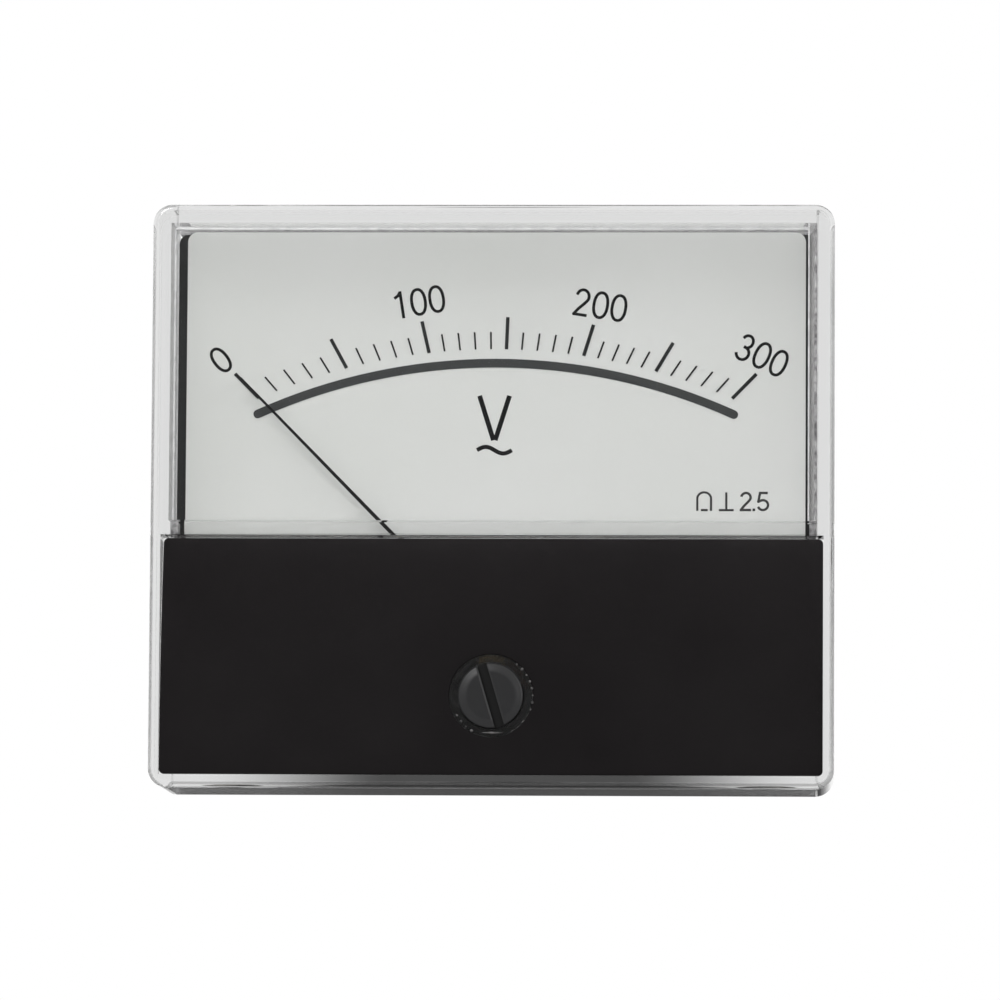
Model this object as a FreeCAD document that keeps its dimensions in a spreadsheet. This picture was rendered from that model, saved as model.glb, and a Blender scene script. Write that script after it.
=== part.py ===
import FreeCAD
import Part
import Sketcher

import math
import os

from FreeCAD import Placement, Rotation, Vector

# Analog panel meter, 70 x 60 mm front, moving coil with a rectifier for alternating voltage.
# The dial stands upright. X runs to the right, Y runs to the rear, Z runs up.
# The origin is where the axis of the case's barrel meets the front of the panel, so that
# everything with a negative Y is in front of the panel and everything else is behind it.

SIZES = {
    # clear front cover
    "cover_width": 70.0,
    "cover_height": 60.0,
    "cover_depth": 13.0,
    "cover_corner": 2.0,
    "cover_edge": 0.7,
    "cover_wall": 1.8,
    "window_wall": 2.0,
    "window_rise": 0.35,
    "window_inset": 0.95,
    "window_corner": 0.6,
    "divider_top": -2.5,
    "divider_under": -4.0,
    "divider_rear": -7.6,
    "floor_wall": 0.9,
    # black mask in its curved recess
    "mask_side": 1.15,
    "mask_drop": 0.15,
    "mask_foot": 1.4,
    "mask_thickness": 0.7,
    "mask_bow": 3.4,
    "mask_setback": 0.2,
    "mask_corner": 0.5,
    "mask_gap": 0.05,
    "mask_hole": 4.3,
    # zero screw and the lever that it turns
    "zero_lift": 1.6,
    "zero_boss": 4.2,
    "zero_boss_front": -12.5,
    "zero_boss_rear": -9.0,
    "zero_head": 3.35,
    "zero_head_front": -12.65,
    "zero_head_thickness": 1.45,
    "zero_head_round": 0.25,
    "zero_slot_width": 1.0,
    "zero_slot_depth": 0.7,
    "zero_slot_tilt": 16.5,
    "zero_shank": 1.5,
    "zero_collar": 1.75,
    "zero_collar_thickness": 0.35,
    "zero_offset": 1.1,
    "zero_pin": 0.4,
    "zero_pin_reach": 0.35,
    "head_gap": 0.1,
    "shaft_gap": 0.05,
    "fork_gap": 0.06,
    "fork_depth": 1.2,
    "lever_thickness": 0.3,
    "lever_gap": 0.1,
    "lever_ring": 2.3,
    "lever_arm": 1.3,
    "fork_tail": 1.4,
    "lever_tag_reach": 3.8,
    "lever_tag_width": 0.8,
    "tag_thickness": 0.4,
    # pointer axis and movement
    "axis_height": -14.2,
    "rest_angle": -44.4,
    "jewel_shank": 1.1,
    "jewel_head": 1.7,
    "jewel_head_thickness": 0.5,
    "jewel_slot_depth": 0.25,
    "jewel_tail": 1.0,
    "jewel_bore": 0.33,
    "jewel_bore_depth": 0.8,
    "pivot_radius": 0.3,
    "pivot_tip": 0.15,
    "pivot_gap": 0.2,
    "bridge_front": -8.1,
    "bridge_thickness": 0.8,
    "bridge_half_height": 2.3,
    "bridge_eye": 2.9,
    "rear_bridge_front": 9.5,
    "rear_bridge_thickness": 1.0,
    "pillar_spacing": 23.0,
    "pillar_radius": 1.6,
    "movement_screw": 1.0,
    "movement_screw_head": 1.9,
    "movement_screw_head_thickness": 0.9,
    "movement_screw_length": 3.0,
    "pillar_tenon": 5.5,
    "core_radius": 4.6,
    "core_front": -3.6,
    "core_length": 10.0,
    "yoke_inner": 6.6,
    "yoke_outer": 8.6,
    "ear_radius": 2.6,
    "ear_thickness": 3.0,
    "core_pin_radius": 0.8,
    "core_pin_depth": 1.2,
    "coil_inner": 4.95,
    "coil_end_gap": 0.7,
    "former_thickness": 0.2,
    "winding_thickness": 0.8,
    "coil_width": 2.4,
    "former_lip": 0.15,
    "bush_radius": 1.2,
    "bush_height": 0.8,
    "spigot_radius": 0.5,
    "spigot_height": 1.05,
    "cross_thickness": 0.2,
    "cross_arm_width": 0.5,
    "cross_ring": 1.3,
    "tail_length": 6.8,
    "side_arm_length": 5.8,
    "side_weight_radius": 0.6,
    "tail_weight_radius": 0.75,
    "tail_weight_length": 1.8,
    "side_weight_length": 1.1,
    "pointer_length": 37.7,
    "pointer_tip_width": 0.24,
    "pointer_root_width": 0.5,
    "pointer_thickness": 0.2,
    "spring_collet": 0.9,
    "spring_outer": 3.2,
    "spring_turns": 4.0,
    "spring_strip": 0.1,
    "spring_height": 0.3,
    # dial
    "dial_side_gap": 1.2,
    "dial_top_gap": 0.2,
    "dial_foot_rise": 5.8,
    "dial_back": -4.4,
    "dial_thickness": 0.5,
    "dial_corner": 1.0,
    "dial_ear": 10.5,
    "notch_rise": 8.6,
    "notch_corner": 2.0,
    "dial_screw_inset": 3.5,
    "dial_screw_rise": 3.2,
    "dial_screw_radius": 1.0,
    "dial_screw_head": 1.8,
    "dial_screw_head_thickness": 0.8,
    "dial_screw_length": 3.2,
    "dial_post": 2.4,
    "screw_gap": 0.1,
    "screw_edge": 0.15,
    "screw_slot": 0.5,
    "screw_slot_depth": 0.4,
    # printed scale
    "print_thickness": 0.04,
    "arc_radius": 59.6,
    "arc_height": 14.4,
    "arc_half_width": 24.6,
    "arc_stroke": 0.9,
    "mark_start": 1.45,
    "major_mark_end": 4.8,
    "minor_mark_end": 3.25,
    "major_mark_stroke": 0.36,
    "minor_mark_stroke": 0.18,
    # case behind the panel
    "case_gap": 0.1,
    "case_corner": 1.0,
    "flange_thickness": 2.5,
    "barrel_radius": 25.25,
    "barrel_length": 30.0,
    "barrel_wall": 1.5,
    "barrel_chamfer": 0.8,
    "post_radius": 3.2,
    "cover_screw_inset": 4.8,
    "cover_screw_rise": 12.0,
    "cover_screw_radius": 1.1,
    "cover_screw_head": 2.1,
    "cover_screw_head_front": -10.7,
    "cover_screw_head_thickness": 1.1,
    "cover_screw_end": -0.8,
    "cover_boss": 2.8,
    "cover_boss_rear": -5.0,
    # studs that hold the meter in its panel
    "stud_inset": 7.0,
    "stud_radius": 1.5,
    "stud_thread_root": 1.34,
    "stud_end": 15.0,
    "stud_head": 2.5,
    "stud_head_thickness": 1.0,
    "stud_shank": 2.0,
    "stud_cover": 0.4,
    "stud_boss": 3.2,
    "stud_washer_front": 9.0,
    "stud_washer_thickness": 0.7,
    "stud_washer_radius": 3.0,
    "stud_nut_flats": 5.5,
    "stud_nut_thickness": 2.4,
    "nut_chamfer": 0.25,
    # electrical terminals
    "terminal_across": 24.0,
    "terminal_height": 8.0,
    "terminal_radius": 2.0,
    "terminal_thread_root": 1.75,
    "terminal_end": 43.0,
    "terminal_head": 3.6,
    "terminal_head_thickness": 2.2,
    "terminal_shoulder": 2.4,
    "terminal_shoulder_length": 2.7,
    "terminal_tenon": 1.2,
    "terminal_tenon_end": 0.5,
    "terminal_boss": 5.0,
    "terminal_boss_height": 0.8,
    "terminal_nut_flats": 7.0,
    "terminal_nut_thickness": 3.2,
    "terminal_washer_radius": 4.5,
    "terminal_washer_thickness": 0.8,
    # circuit board with the rectifier and the series resistor
    "board_width": 34.0,
    "board_top": 15.0,
    "board_bottom": 1.0,
    "board_thickness": 1.6,
    "rectifier_width": 6.4,
    "rectifier_height": 5.0,
    "rectifier_depth": 3.0,
    "rectifier_bevel": 0.4,
    "rectifier_place": 5.5,
    "resistor_length": 6.5,
    "resistor_radius": 1.25,
    "resistor_waist": 1.0,
    "resistor_cap": 1.6,
    "resistor_pitch": 10.0,
    "resistor_place": -4.0,
    "resistor_wire": 0.3,
    "lead_radius": 0.4,
    "lead_bend": 2.5,
}

# Where the pointer stands at each fifty volts, in degrees clockwise from straight up. The steps
# shrink towards the top, as the rectifier and the magnet make them.
SCALE_ANGLES = (-44.5, -28.8, -13.1, 2.1, 17.2, 30.8, 44.4)
MARKS_PER_STEP = 5
STUD_SIDES = ((-1, 1), (1, 1), (-1, -1), (1, -1))
SIDES = (("left", -1), ("right", 1))

doc = FreeCAD.newDocument("panel_meter")
sheet = doc.addObject("Spreadsheet::Sheet", "Sizes")
for row, (alias, number) in enumerate(SIZES.items(), start=1):
    sheet.set(f"A{row}", alias)
    sheet.set(f"B{row}", str(number))
    sheet.setAlias(f"B{row}", alias)
doc.recompute()


class Size:
    """A length with its value now and the expression that keeps it tied to the sheet."""

    def __init__(self, value, text):
        self.value = float(value)
        self.text = text

    def __add__(self, other):
        other = as_size(other)
        return Size(self.value + other.value, f"({self.text} + {other.text})")

    def __sub__(self, other):
        other = as_size(other)
        return Size(self.value - other.value, f"({self.text} - {other.text})")

    def __mul__(self, other):
        other = as_size(other)
        return Size(self.value * other.value, f"({self.text} * {other.text})")

    def __truediv__(self, other):
        other = as_size(other)
        return Size(self.value / other.value, f"({self.text} / {other.text})")

    def __neg__(self):
        return Size(-self.value, f"(0 - {self.text})")


def as_size(thing):
    return thing if isinstance(thing, Size) else Size(thing, repr(float(thing)))


def root(size):
    """The square root of a size, in both its forms."""
    return Size(math.sqrt(size.value), f"sqrt({size.text})")


class Near:
    """A starting place for a point that the rest of its outline settles."""

    def __init__(self, value):
        self.value = float(value)


class Names:
    """The driving dimensions by name."""


S = Names()
for alias, number in SIZES.items():
    setattr(S, alias, Size(number, f"Sizes.{alias}"))

PANEL = as_size(0)
AXIS = as_size(0)
nodes = []


def bind(thing, name, size):
    thing.setExpression(name, as_size(size).text)


def keep(thing, label):
    """Names a finished piece and lists it for export."""
    thing.Label = label
    nodes.append(thing)
    return thing


# Sketches and the features made from them


def new_body(label):
    body = doc.addObject("PartDesign::Body", label)
    return keep(body, label)


def new_sketch(body, plane_role, offset=AXIS):
    """A sketch on one of the body's own planes, set off along that plane's normal."""
    sketch = body.newObject("Sketcher::SketchObject", body.Label + "_sketch")
    planes = body.Origin.OriginFeatures
    plane = next(item for item in planes if item.Role == plane_role)
    sketch.AttachmentSupport = [(plane, "")]
    sketch.MapMode = "FlatFace"
    bind(sketch, "AttachmentOffset.Base.z", offset)
    return sketch


def hold(sketch, geometry, point, x, y):
    """Ties one point of a sketch to its place from the origin."""
    for kind, place in (("DistanceX", x), ("DistanceY", y)):
        if isinstance(place, Near):
            continue
        place = as_size(place)
        constraint = Sketcher.Constraint(kind, -1, 1, geometry, point, place.value)
        index = sketch.addConstraint(constraint)
        bind(sketch, f"Constraints[{index}]", place)


def draw_circle(sketch, x, y, radius):
    x, y, radius = as_size(x), as_size(y), as_size(radius)
    circle = Part.Circle(Vector(x.value, y.value, 0), Vector(0, 0, 1), radius.value)
    geometry = sketch.addGeometry(circle, False)
    hold(sketch, geometry, 3, x, y)
    index = sketch.addConstraint(Sketcher.Constraint("Radius", geometry, radius.value))
    bind(sketch, f"Constraints[{index}]", radius)


def arc_between(start, end, centre, turn):
    """An arc from start to end about centre, turning anticlockwise for 1 and clockwise for -1."""
    radius = (start - centre).Length
    first, last = (start, end) if turn > 0 else (end, start)
    first_angle = math.atan2(first.y - centre.y, first.x - centre.x)
    last_angle = math.atan2(last.y - centre.y, last.x - centre.x)
    if last_angle <= first_angle:
        last_angle += 2 * math.pi
    circle = Part.Circle(centre, Vector(0, 0, 1), radius)
    return Part.ArcOfCircle(circle, first_angle, last_angle)


def draw_loop(sketch, corners, arcs=None):
    """A closed loop through corners. A side named in arcs is round: its centre x, y and its turn."""
    arcs = arcs or {}
    sides = []
    for number, (x, y) in enumerate(corners):
        next_x, next_y = corners[(number + 1) % len(corners)]
        start = Vector(x.value, y.value, 0)
        end = Vector(next_x.value, next_y.value, 0)
        turn = 1
        if number in arcs:
            centre_x, centre_y, turn = arcs[number]
            centre = Vector(centre_x.value, centre_y.value, 0)
            geometry = sketch.addGeometry(arc_between(start, end, centre, turn), False)
            hold(sketch, geometry, 3, centre_x, centre_y)
        else:
            geometry = sketch.addGeometry(Part.LineSegment(start, end), False)
        sides.append((geometry, 1 if turn > 0 else 2))
    for number, (geometry, first_point) in enumerate(sides):
        next_geometry, next_first_point = sides[(number + 1) % len(sides)]
        ends = (geometry, 3 - first_point, next_geometry, next_first_point)
        sketch.addConstraint(Sketcher.Constraint("Coincident", *ends))
        hold(sketch, geometry, first_point, *corners[number])


def draw_rectangle(sketch, left, right, bottom, top):
    draw_loop(sketch, [(left, bottom), (right, bottom), (right, top), (left, top)])


def draw_rounded(sketch, left, right, bottom, top, radius):
    """A rectangle with four equal round corners, drawn anticlockwise."""
    low, high = bottom + radius, top - radius
    near, far = left + radius, right - radius
    corners = [
        (near, bottom), (far, Near(bottom.value)), (right, low), (Near(right.value), high),
        (far, top), (near, Near(top.value)), (left, high), (Near(left.value), low),
    ]
    arcs = {1: (far, low, 1), 3: (far, high, 1), 5: (near, high, 1), 7: (near, low, 1)}
    draw_loop(sketch, corners, arcs)


def draw_obround(sketch, half_length, radius):
    """A bar with round ends, lying along the sketch's first direction."""
    left, right = -half_length, half_length
    corners = [
        (left, -radius), (right, -radius), (right, Near(radius.value)),
        (left, Near(radius.value)),
    ]
    arcs = {1: (right, AXIS, 1), 3: (left, AXIS, 1)}
    draw_loop(sketch, corners, arcs)


def slab(body, y_from, y_to, draw):
    """Adds what draw outlines in X and Z, from one depth to another."""
    y_from, y_to = as_size(y_from), as_size(y_to)
    sketch = new_sketch(body, "XZ_Plane", -y_from)
    draw(sketch)
    pad = body.newObject("PartDesign::Pad", body.Label + "_pad")
    pad.Profile = sketch
    bind(pad, "Length", y_to - y_from)
    pad.Reversed = True
    doc.recompute()
    return pad


def recess(body, y_from, y_to, draw):
    """Cuts what draw outlines in X and Z, from one depth rearwards to another."""
    y_from, y_to = as_size(y_from), as_size(y_to)
    before = body.Shape.Volume
    sketch = new_sketch(body, "XZ_Plane", -y_from)
    draw(sketch)
    pocket = body.newObject("PartDesign::Pocket", body.Label + "_pocket")
    pocket.Profile = sketch
    bind(pocket, "Length", y_to - y_from)
    doc.recompute()
    if body.Shape.Volume > before - 1e-6:
        raise RuntimeError(f"a recess in {body.Label} cuts nothing")
    return pocket


def across(body, half_width, draw, cutting=False):
    """Adds or cuts what draw outlines in Y and Z, from one side to the other along X."""
    before = body.Shape.Volume if cutting else 0
    sketch = new_sketch(body, "YZ_Plane", -half_width)
    draw(sketch)
    kind = "PartDesign::Pocket" if cutting else "PartDesign::Pad"
    feature = body.newObject(kind, body.Label + "_across")
    feature.Profile = sketch
    bind(feature, "Length", half_width * 2)
    feature.Reversed = cutting
    doc.recompute()
    if cutting and body.Shape.Volume > before - 1e-6:
        raise RuntimeError(f"a cut across {body.Label} cuts nothing")
    return feature


def turned(label, outline, x=AXIS, z=AXIS):
    """A piece turned about an axis along Y: its outline is a list of radius and Y."""
    body = new_body(label)
    sketch = new_sketch(body, "XY_Plane")
    draw_loop(sketch, [(as_size(radius), as_size(y)) for radius, y in outline])
    revolution = body.newObject("PartDesign::Revolution", label + "_turning")
    revolution.Profile = sketch
    revolution.ReferenceAxis = (sketch, ["V_Axis"])
    revolution.Angle = 360
    place(body, x, AXIS, z)
    doc.recompute()
    return body


def edge_names(shape, chosen):
    return [f"Edge{number}" for number, edge in enumerate(shape.Edges, start=1) if chosen(edge)]


def round_edges(body, base, radius, chosen):
    """Rounds the edges of a feature that chosen picks."""
    names = edge_names(base.Shape, chosen)
    if not names:
        raise RuntimeError(f"no edge to round on {body.Label}")
    fillet = body.newObject("PartDesign::Fillet", body.Label + "_round")
    fillet.Base = (base, names)
    bind(fillet, "Radius", radius)
    doc.recompute()
    return fillet


def chamfer_edges(body, base, length, chosen):
    """Chamfers the edges of a feature that chosen picks."""
    names = edge_names(base.Shape, chosen)
    if not names:
        raise RuntimeError(f"no edge to chamfer on {body.Label}")
    chamfer = body.newObject("PartDesign::Chamfer", body.Label + "_chamfer")
    chamfer.Base = (base, names)
    bind(chamfer, "Size", length)
    doc.recompute()
    return chamfer


def lies_at(edge, y):
    """Says whether an edge lies wholly in the plane at this depth."""
    box = edge.BoundBox
    return abs(box.YMin - y.value) < 1e-4 and abs(box.YMax - y.value) < 1e-4


# Primitives and booleans

REARWARDS = Rotation(Vector(1, 0, 0), -90)
SIDEWAYS = Rotation(Vector(0, 1, 0), 90)


def place(thing, x, y, z):
    for axis, size in (("x", x), ("y", y), ("z", z)):
        bind(thing, f"Placement.Base.{axis}", size)


def rod(x, z, y_from, y_to, radius):
    """A cylinder lying along Y."""
    cylinder = doc.addObject("Part::Cylinder", "rod")
    bind(cylinder, "Radius", radius)
    bind(cylinder, "Height", as_size(y_to) - y_from)
    cylinder.Placement = Placement(Vector(), REARWARDS)
    place(cylinder, x, y_from, z)
    return cylinder


def cross_rod(x_from, x_to, y, z, radius):
    """A cylinder lying along X."""
    cylinder = doc.addObject("Part::Cylinder", "cross_rod")
    bind(cylinder, "Radius", radius)
    bind(cylinder, "Height", as_size(x_to) - x_from)
    cylinder.Placement = Placement(Vector(), SIDEWAYS)
    place(cylinder, x_from, y, z)
    return cylinder


def block(x_from, x_to, y_from, y_to, z_from, z_to):
    box = doc.addObject("Part::Box", "block")
    bind(box, "Length", as_size(x_to) - x_from)
    bind(box, "Width", as_size(y_to) - y_from)
    bind(box, "Height", as_size(z_to) - z_from)
    place(box, x_from, y_from, z_from)
    return box


def cut(base, tool):
    result = doc.addObject("Part::Cut", "cut")
    result.Base = base
    result.Tool = tool
    return result


def fuse(*pieces):
    result = doc.addObject("Part::MultiFuse", "fuse")
    result.Shapes = list(pieces)
    result.Refine = True
    return result


def common(first, second):
    result = doc.addObject("Part::Common", "common")
    result.Base = first
    result.Tool = second
    result.Refine = True
    return result


def hex_nut(label, x, z, y_from, thickness, flats, bore):
    """A hexagon nut along Y with its corners turned off at both faces."""
    corner = flats / math.sqrt(3)
    prism = doc.addObject("Part::Prism", "hexagon")
    prism.Polygon = 6
    bind(prism, "Circumradius", corner)
    bind(prism, "Height", thickness)
    prism.Placement = Placement(Vector(), REARWARDS)
    place(prism, x, y_from, z)
    blank = rod(x, z, y_from, y_from + thickness, corner)
    turned_blank = doc.addObject("Part::Chamfer", "turned_blank")
    turned_blank.Base = blank
    doc.recompute()
    ends = [n for n, edge in enumerate(blank.Shape.Edges, start=1) if edge.Closed]
    turned_blank.Edges = [(n, S.nut_chamfer.value, S.nut_chamfer.value) for n in ends]
    hexagon = common(prism, turned_blank)
    return keep(cut(hexagon, rod(x, z, y_from, y_from + thickness, bore)), label)


def washer(label, x, z, y_from, thickness, radius, bore):
    y_to = y_from + thickness
    return keep(cut(rod(x, z, y_from, y_to, radius), rod(x, z, y_from, y_to, bore)), label)


# Places worked out from the driving dimensions

COVER_FRONT = -S.cover_depth
WINDOW_FRONT = COVER_FRONT - S.window_rise
WINDOW_BACK = COVER_FRONT + S.window_wall
INSIDE_X = S.cover_width / 2 - S.cover_wall
INSIDE_Z = S.cover_height / 2 - S.cover_wall
ZERO_Z = (S.axis_height - S.cover_height / 2) / 2 + S.zero_lift
FORK_Z = ZERO_Z + S.zero_offset - S.axis_height
MASK_FRONT = COVER_FRONT + S.mask_setback
MASK_HALF = S.cover_width / 2 - S.mask_side
MASK_TOP = S.divider_under - S.mask_drop
MASK_BOTTOM = S.mask_foot - S.cover_height / 2
MASK_RISE = MASK_TOP - MASK_BOTTOM
MASK_CURVE = (MASK_RISE * MASK_RISE + S.mask_bow * S.mask_bow) / (S.mask_bow * 2)
MASK_CENTRE = MASK_FRONT + MASK_CURVE
MASK_BACK_CURVE = MASK_CURVE - S.mask_thickness
FLOOR_FRONT_CURVE = MASK_BACK_CURVE - S.mask_gap
FLOOR_BACK_CURVE = FLOOR_FRONT_CURVE - S.floor_wall
BRIDGE_BACK = S.bridge_front + S.bridge_thickness
REAR_BRIDGE_BACK = S.rear_bridge_front + S.rear_bridge_thickness
PILLAR_X = S.pillar_spacing / 2
CORE_BACK = S.core_front + S.core_length
WINDING_FRONT = S.core_front - S.coil_end_gap - S.former_thickness - S.winding_thickness
WINDING_BACK = CORE_BACK + S.coil_end_gap + S.former_thickness + S.winding_thickness
BUSH_FRONT = WINDING_FRONT - S.bush_height
CROSS_FRONT = BUSH_FRONT - S.cross_thickness
POINTER_FRONT = CROSS_FRONT - S.pointer_thickness
FRONT_SPRING_BACK = BRIDGE_BACK + S.pivot_gap + S.spring_height
REAR_SPRING_FRONT = S.rear_bridge_front - S.tag_thickness - S.pivot_gap - S.spring_height
DIAL_FRONT = S.dial_back - S.dial_thickness
COVER_SCREW_X = S.cover_width / 2 - S.cover_screw_inset
COVER_SCREW_Z = S.cover_screw_rise - S.cover_height / 2
STUD_X = S.cover_width / 2 - S.stud_inset
STUD_Z = S.cover_height / 2 - S.stud_inset
DIAL_HALF = INSIDE_X - S.dial_side_gap
DIAL_TOP = INSIDE_Z - S.dial_top_gap
DIAL_BOTTOM = COVER_SCREW_Z + S.dial_foot_rise
DIAL_SCREW_X = DIAL_HALF - S.dial_screw_inset
DIAL_SCREW_Z = DIAL_BOTTOM + S.dial_screw_rise
LEVER_BACK = S.bridge_front - S.lever_gap
LEVER_FRONT = LEVER_BACK - S.lever_thickness
FLANGE_FRONT = -S.flange_thickness
BARREL_BACK = S.barrel_length
BARREL_INSIDE = S.barrel_radius - S.barrel_wall
REAR_WALL = S.barrel_length - S.barrel_wall
TERMINAL_X = S.terminal_across / 2
TERMINAL_SEAT = BARREL_BACK + S.terminal_boss_height
TERMINAL_HEAD_FRONT = REAR_WALL - S.terminal_head_thickness
BOARD_BACK = TERMINAL_HEAD_FRONT - S.terminal_shoulder_length
BOARD_FRONT = BOARD_BACK - S.board_thickness


def on_curve(radius, z):
    """The depth of a curved wall of this radius at height z."""
    rise = z - MASK_BOTTOM
    return MASK_CENTRE - root(radius * radius - rise * rise)


def height_on_curve(radius, y):
    """The height at which a curved wall of this radius reaches depth y."""
    depth = MASK_CENTRE - y
    return MASK_BOTTOM + root(radius * radius - depth * depth)


def make_front_cover():
    """A clear box open at the rear: window above, divider, and a curved floor for the mask."""
    body = new_body("front_cover")
    half_width, half_height = S.cover_width / 2, S.cover_height / 2
    outer = slab(body, COVER_FRONT, PANEL, lambda sketch: draw_rounded(
        sketch, -half_width, half_width, -half_height, half_height, S.cover_corner))
    round_edges(body, outer, S.cover_edge, lambda edge: lies_at(edge, COVER_FRONT))

    window_side = half_width - S.window_inset
    window_top = half_height - S.window_inset
    slab(body, WINDOW_FRONT, WINDOW_BACK, lambda sketch: draw_rounded(
        sketch, -window_side, window_side, S.divider_under, window_top, S.window_corner))

    recess(body, WINDOW_BACK, PANEL, lambda sketch: draw_rectangle(
        sketch, -INSIDE_X, INSIDE_X, S.divider_top, INSIDE_Z))

    recess_side = MASK_HALF + S.mask_gap
    recess_top = MASK_TOP + S.mask_gap
    recess_bottom = MASK_BOTTOM - S.mask_gap
    outside = COVER_FRONT - S.cover_depth / 2
    floor_top = on_curve(FLOOR_FRONT_CURVE, recess_top)
    floor_bottom = on_curve(FLOOR_FRONT_CURVE, recess_bottom)
    across(body, recess_side, lambda sketch: draw_loop(
        sketch,
        [
            (outside, recess_bottom), (floor_bottom, recess_bottom),
            (Near(floor_top.value), recess_top), (outside, recess_top),
        ],
        {1: (MASK_CENTRE, MASK_BOTTOM, -1)}), cutting=True)

    back_bottom = on_curve(FLOOR_BACK_CURVE, -INSIDE_Z)
    back_top = height_on_curve(FLOOR_BACK_CURVE, S.divider_rear)
    across(body, INSIDE_X, lambda sketch: draw_loop(
        sketch,
        [
            (PANEL, -INSIDE_Z), (PANEL, S.divider_top), (S.divider_rear, S.divider_top),
            (S.divider_rear, back_top), (Near(back_bottom.value), -INSIDE_Z),
        ],
        {3: (MASK_CENTRE, MASK_BOTTOM, 1)}), cutting=True)

    slab(body, S.zero_boss_front, S.zero_boss_rear, lambda sketch: draw_circle(
        sketch, AXIS, ZERO_Z, S.zero_boss))
    screw_x = COVER_SCREW_X
    boss_front = on_curve(FLOOR_FRONT_CURVE, COVER_SCREW_Z) + S.floor_wall / 2
    head_back = S.cover_screw_head_front + S.cover_screw_head_thickness

    def draw_screws(sketch, radius):
        for sign in (-1, 1):
            draw_circle(sketch, screw_x * sign, COVER_SCREW_Z, radius)

    slab(body, boss_front, S.cover_boss_rear, lambda sketch: draw_screws(sketch, S.cover_boss))
    recess(body, COVER_FRONT, head_back, lambda sketch: draw_screws(
        sketch, S.cover_screw_head + S.screw_gap))
    recess(body, head_back, S.cover_boss_rear, lambda sketch: draw_screws(
        sketch, S.cover_screw_radius + S.screw_gap))

    head_seat = S.zero_head_front + S.zero_head_thickness
    recess(body, COVER_FRONT, head_seat, lambda sketch: draw_circle(
        sketch, AXIS, ZERO_Z, S.zero_head + S.head_gap))
    recess(body, head_seat, S.zero_boss_rear, lambda sketch: draw_circle(
        sketch, AXIS, ZERO_Z, S.zero_shank + S.shaft_gap))


def make_black_mask():
    """A thin plate bent about a level axis, with a hole round the zero screw's boss."""
    body = new_body("black_mask")
    front_top = on_curve(MASK_CURVE, MASK_TOP)
    back_top = on_curve(MASK_BACK_CURVE, MASK_TOP)
    front_bottom = MASK_FRONT
    back_bottom = MASK_FRONT + S.mask_thickness
    plate = across(body, MASK_HALF, lambda sketch: draw_loop(
        sketch,
        [
            (front_bottom, MASK_BOTTOM), (back_bottom, MASK_BOTTOM),
            (Near(back_top.value), MASK_TOP), (Near(front_top.value), MASK_TOP),
        ],
        {1: (MASK_CENTRE, MASK_BOTTOM, -1), 3: (MASK_CENTRE, MASK_BOTTOM, 1)}))
    round_edges(body, plate, S.mask_corner, lambda edge: (
        edge.BoundBox.YLength < S.mask_thickness.value * 1.5
        and edge.BoundBox.XLength < 1e-4 and edge.BoundBox.ZLength < S.mask_thickness.value))
    recess(body, COVER_FRONT, PANEL, lambda sketch: draw_circle(
        sketch, AXIS, ZERO_Z, S.mask_hole))


def make_zero_screw():
    """A slotted head, a shank, a snap collar behind the cover and an eccentric pin."""
    head_back = S.zero_head_front + S.zero_head_thickness
    collar_front = S.zero_boss_rear + S.lever_gap
    collar_back = collar_front + S.zero_collar_thickness
    body = turned("zero_screw", [
        (AXIS, S.zero_head_front), (S.zero_head, S.zero_head_front), (S.zero_head, head_back),
        (S.zero_shank, head_back), (S.zero_shank, collar_front), (S.zero_collar, collar_front),
        (S.zero_collar, collar_back), (AXIS, collar_back),
    ], AXIS, ZERO_Z)
    round_edges(body, body.Tip, S.zero_head_round, lambda edge: lies_at(edge, S.zero_head_front))
    slot_half, slot_reach = S.zero_slot_width / 2, S.zero_head + S.head_gap
    recess(body, S.zero_head_front, S.zero_head_front + S.zero_slot_depth,
           lambda sketch: draw_rectangle(sketch, -slot_half, slot_half, -slot_reach, slot_reach))
    # the pin stands straight above the axis once the head's slot leans to the left
    tilt = math.radians(S.zero_slot_tilt.value)
    pin_x, pin_z = S.zero_offset * math.sin(tilt), S.zero_offset * math.cos(tilt)
    slab(body, collar_back, LEVER_BACK + S.zero_pin_reach - S.lever_gap,
         lambda sketch: draw_circle(sketch, pin_x, pin_z, S.zero_pin))
    body.Placement = Placement(Vector(), Rotation(Vector(0, 1, 0), -S.zero_slot_tilt.value))
    place(body, AXIS, AXIS, ZERO_Z)


def make_zero_lever():
    """A flat lever on the front jewel screw: a fork below, a bent spring tag above."""
    body = new_body("zero_lever")
    tag_half = S.lever_tag_width / 2
    tag_low = S.lever_tag_reach - S.tag_thickness
    slab(body, LEVER_FRONT, LEVER_BACK, lambda sketch: draw_circle(
        sketch, AXIS, AXIS, S.lever_ring))
    slab(body, LEVER_FRONT, LEVER_BACK, lambda sketch: draw_rectangle(
        sketch, -S.lever_arm, S.lever_arm, FORK_Z - S.fork_tail, AXIS))
    slab(body, LEVER_FRONT, LEVER_BACK, lambda sketch: draw_rectangle(
        sketch, -tag_half, tag_half, AXIS, S.lever_tag_reach))
    slab(body, LEVER_FRONT, FRONT_SPRING_BACK, lambda sketch: draw_rectangle(
        sketch, -tag_half, tag_half, tag_low, S.lever_tag_reach))
    recess(body, LEVER_FRONT, LEVER_BACK, lambda sketch: draw_circle(
        sketch, AXIS, AXIS, S.jewel_shank + S.shaft_gap))
    fork = S.zero_pin + S.fork_gap
    recess(body, LEVER_FRONT, LEVER_BACK, lambda sketch: draw_rectangle(
        sketch, -fork, fork, FORK_Z - S.fork_tail, FORK_Z + S.fork_depth))
    place(body, AXIS, AXIS, S.axis_height)


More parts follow.
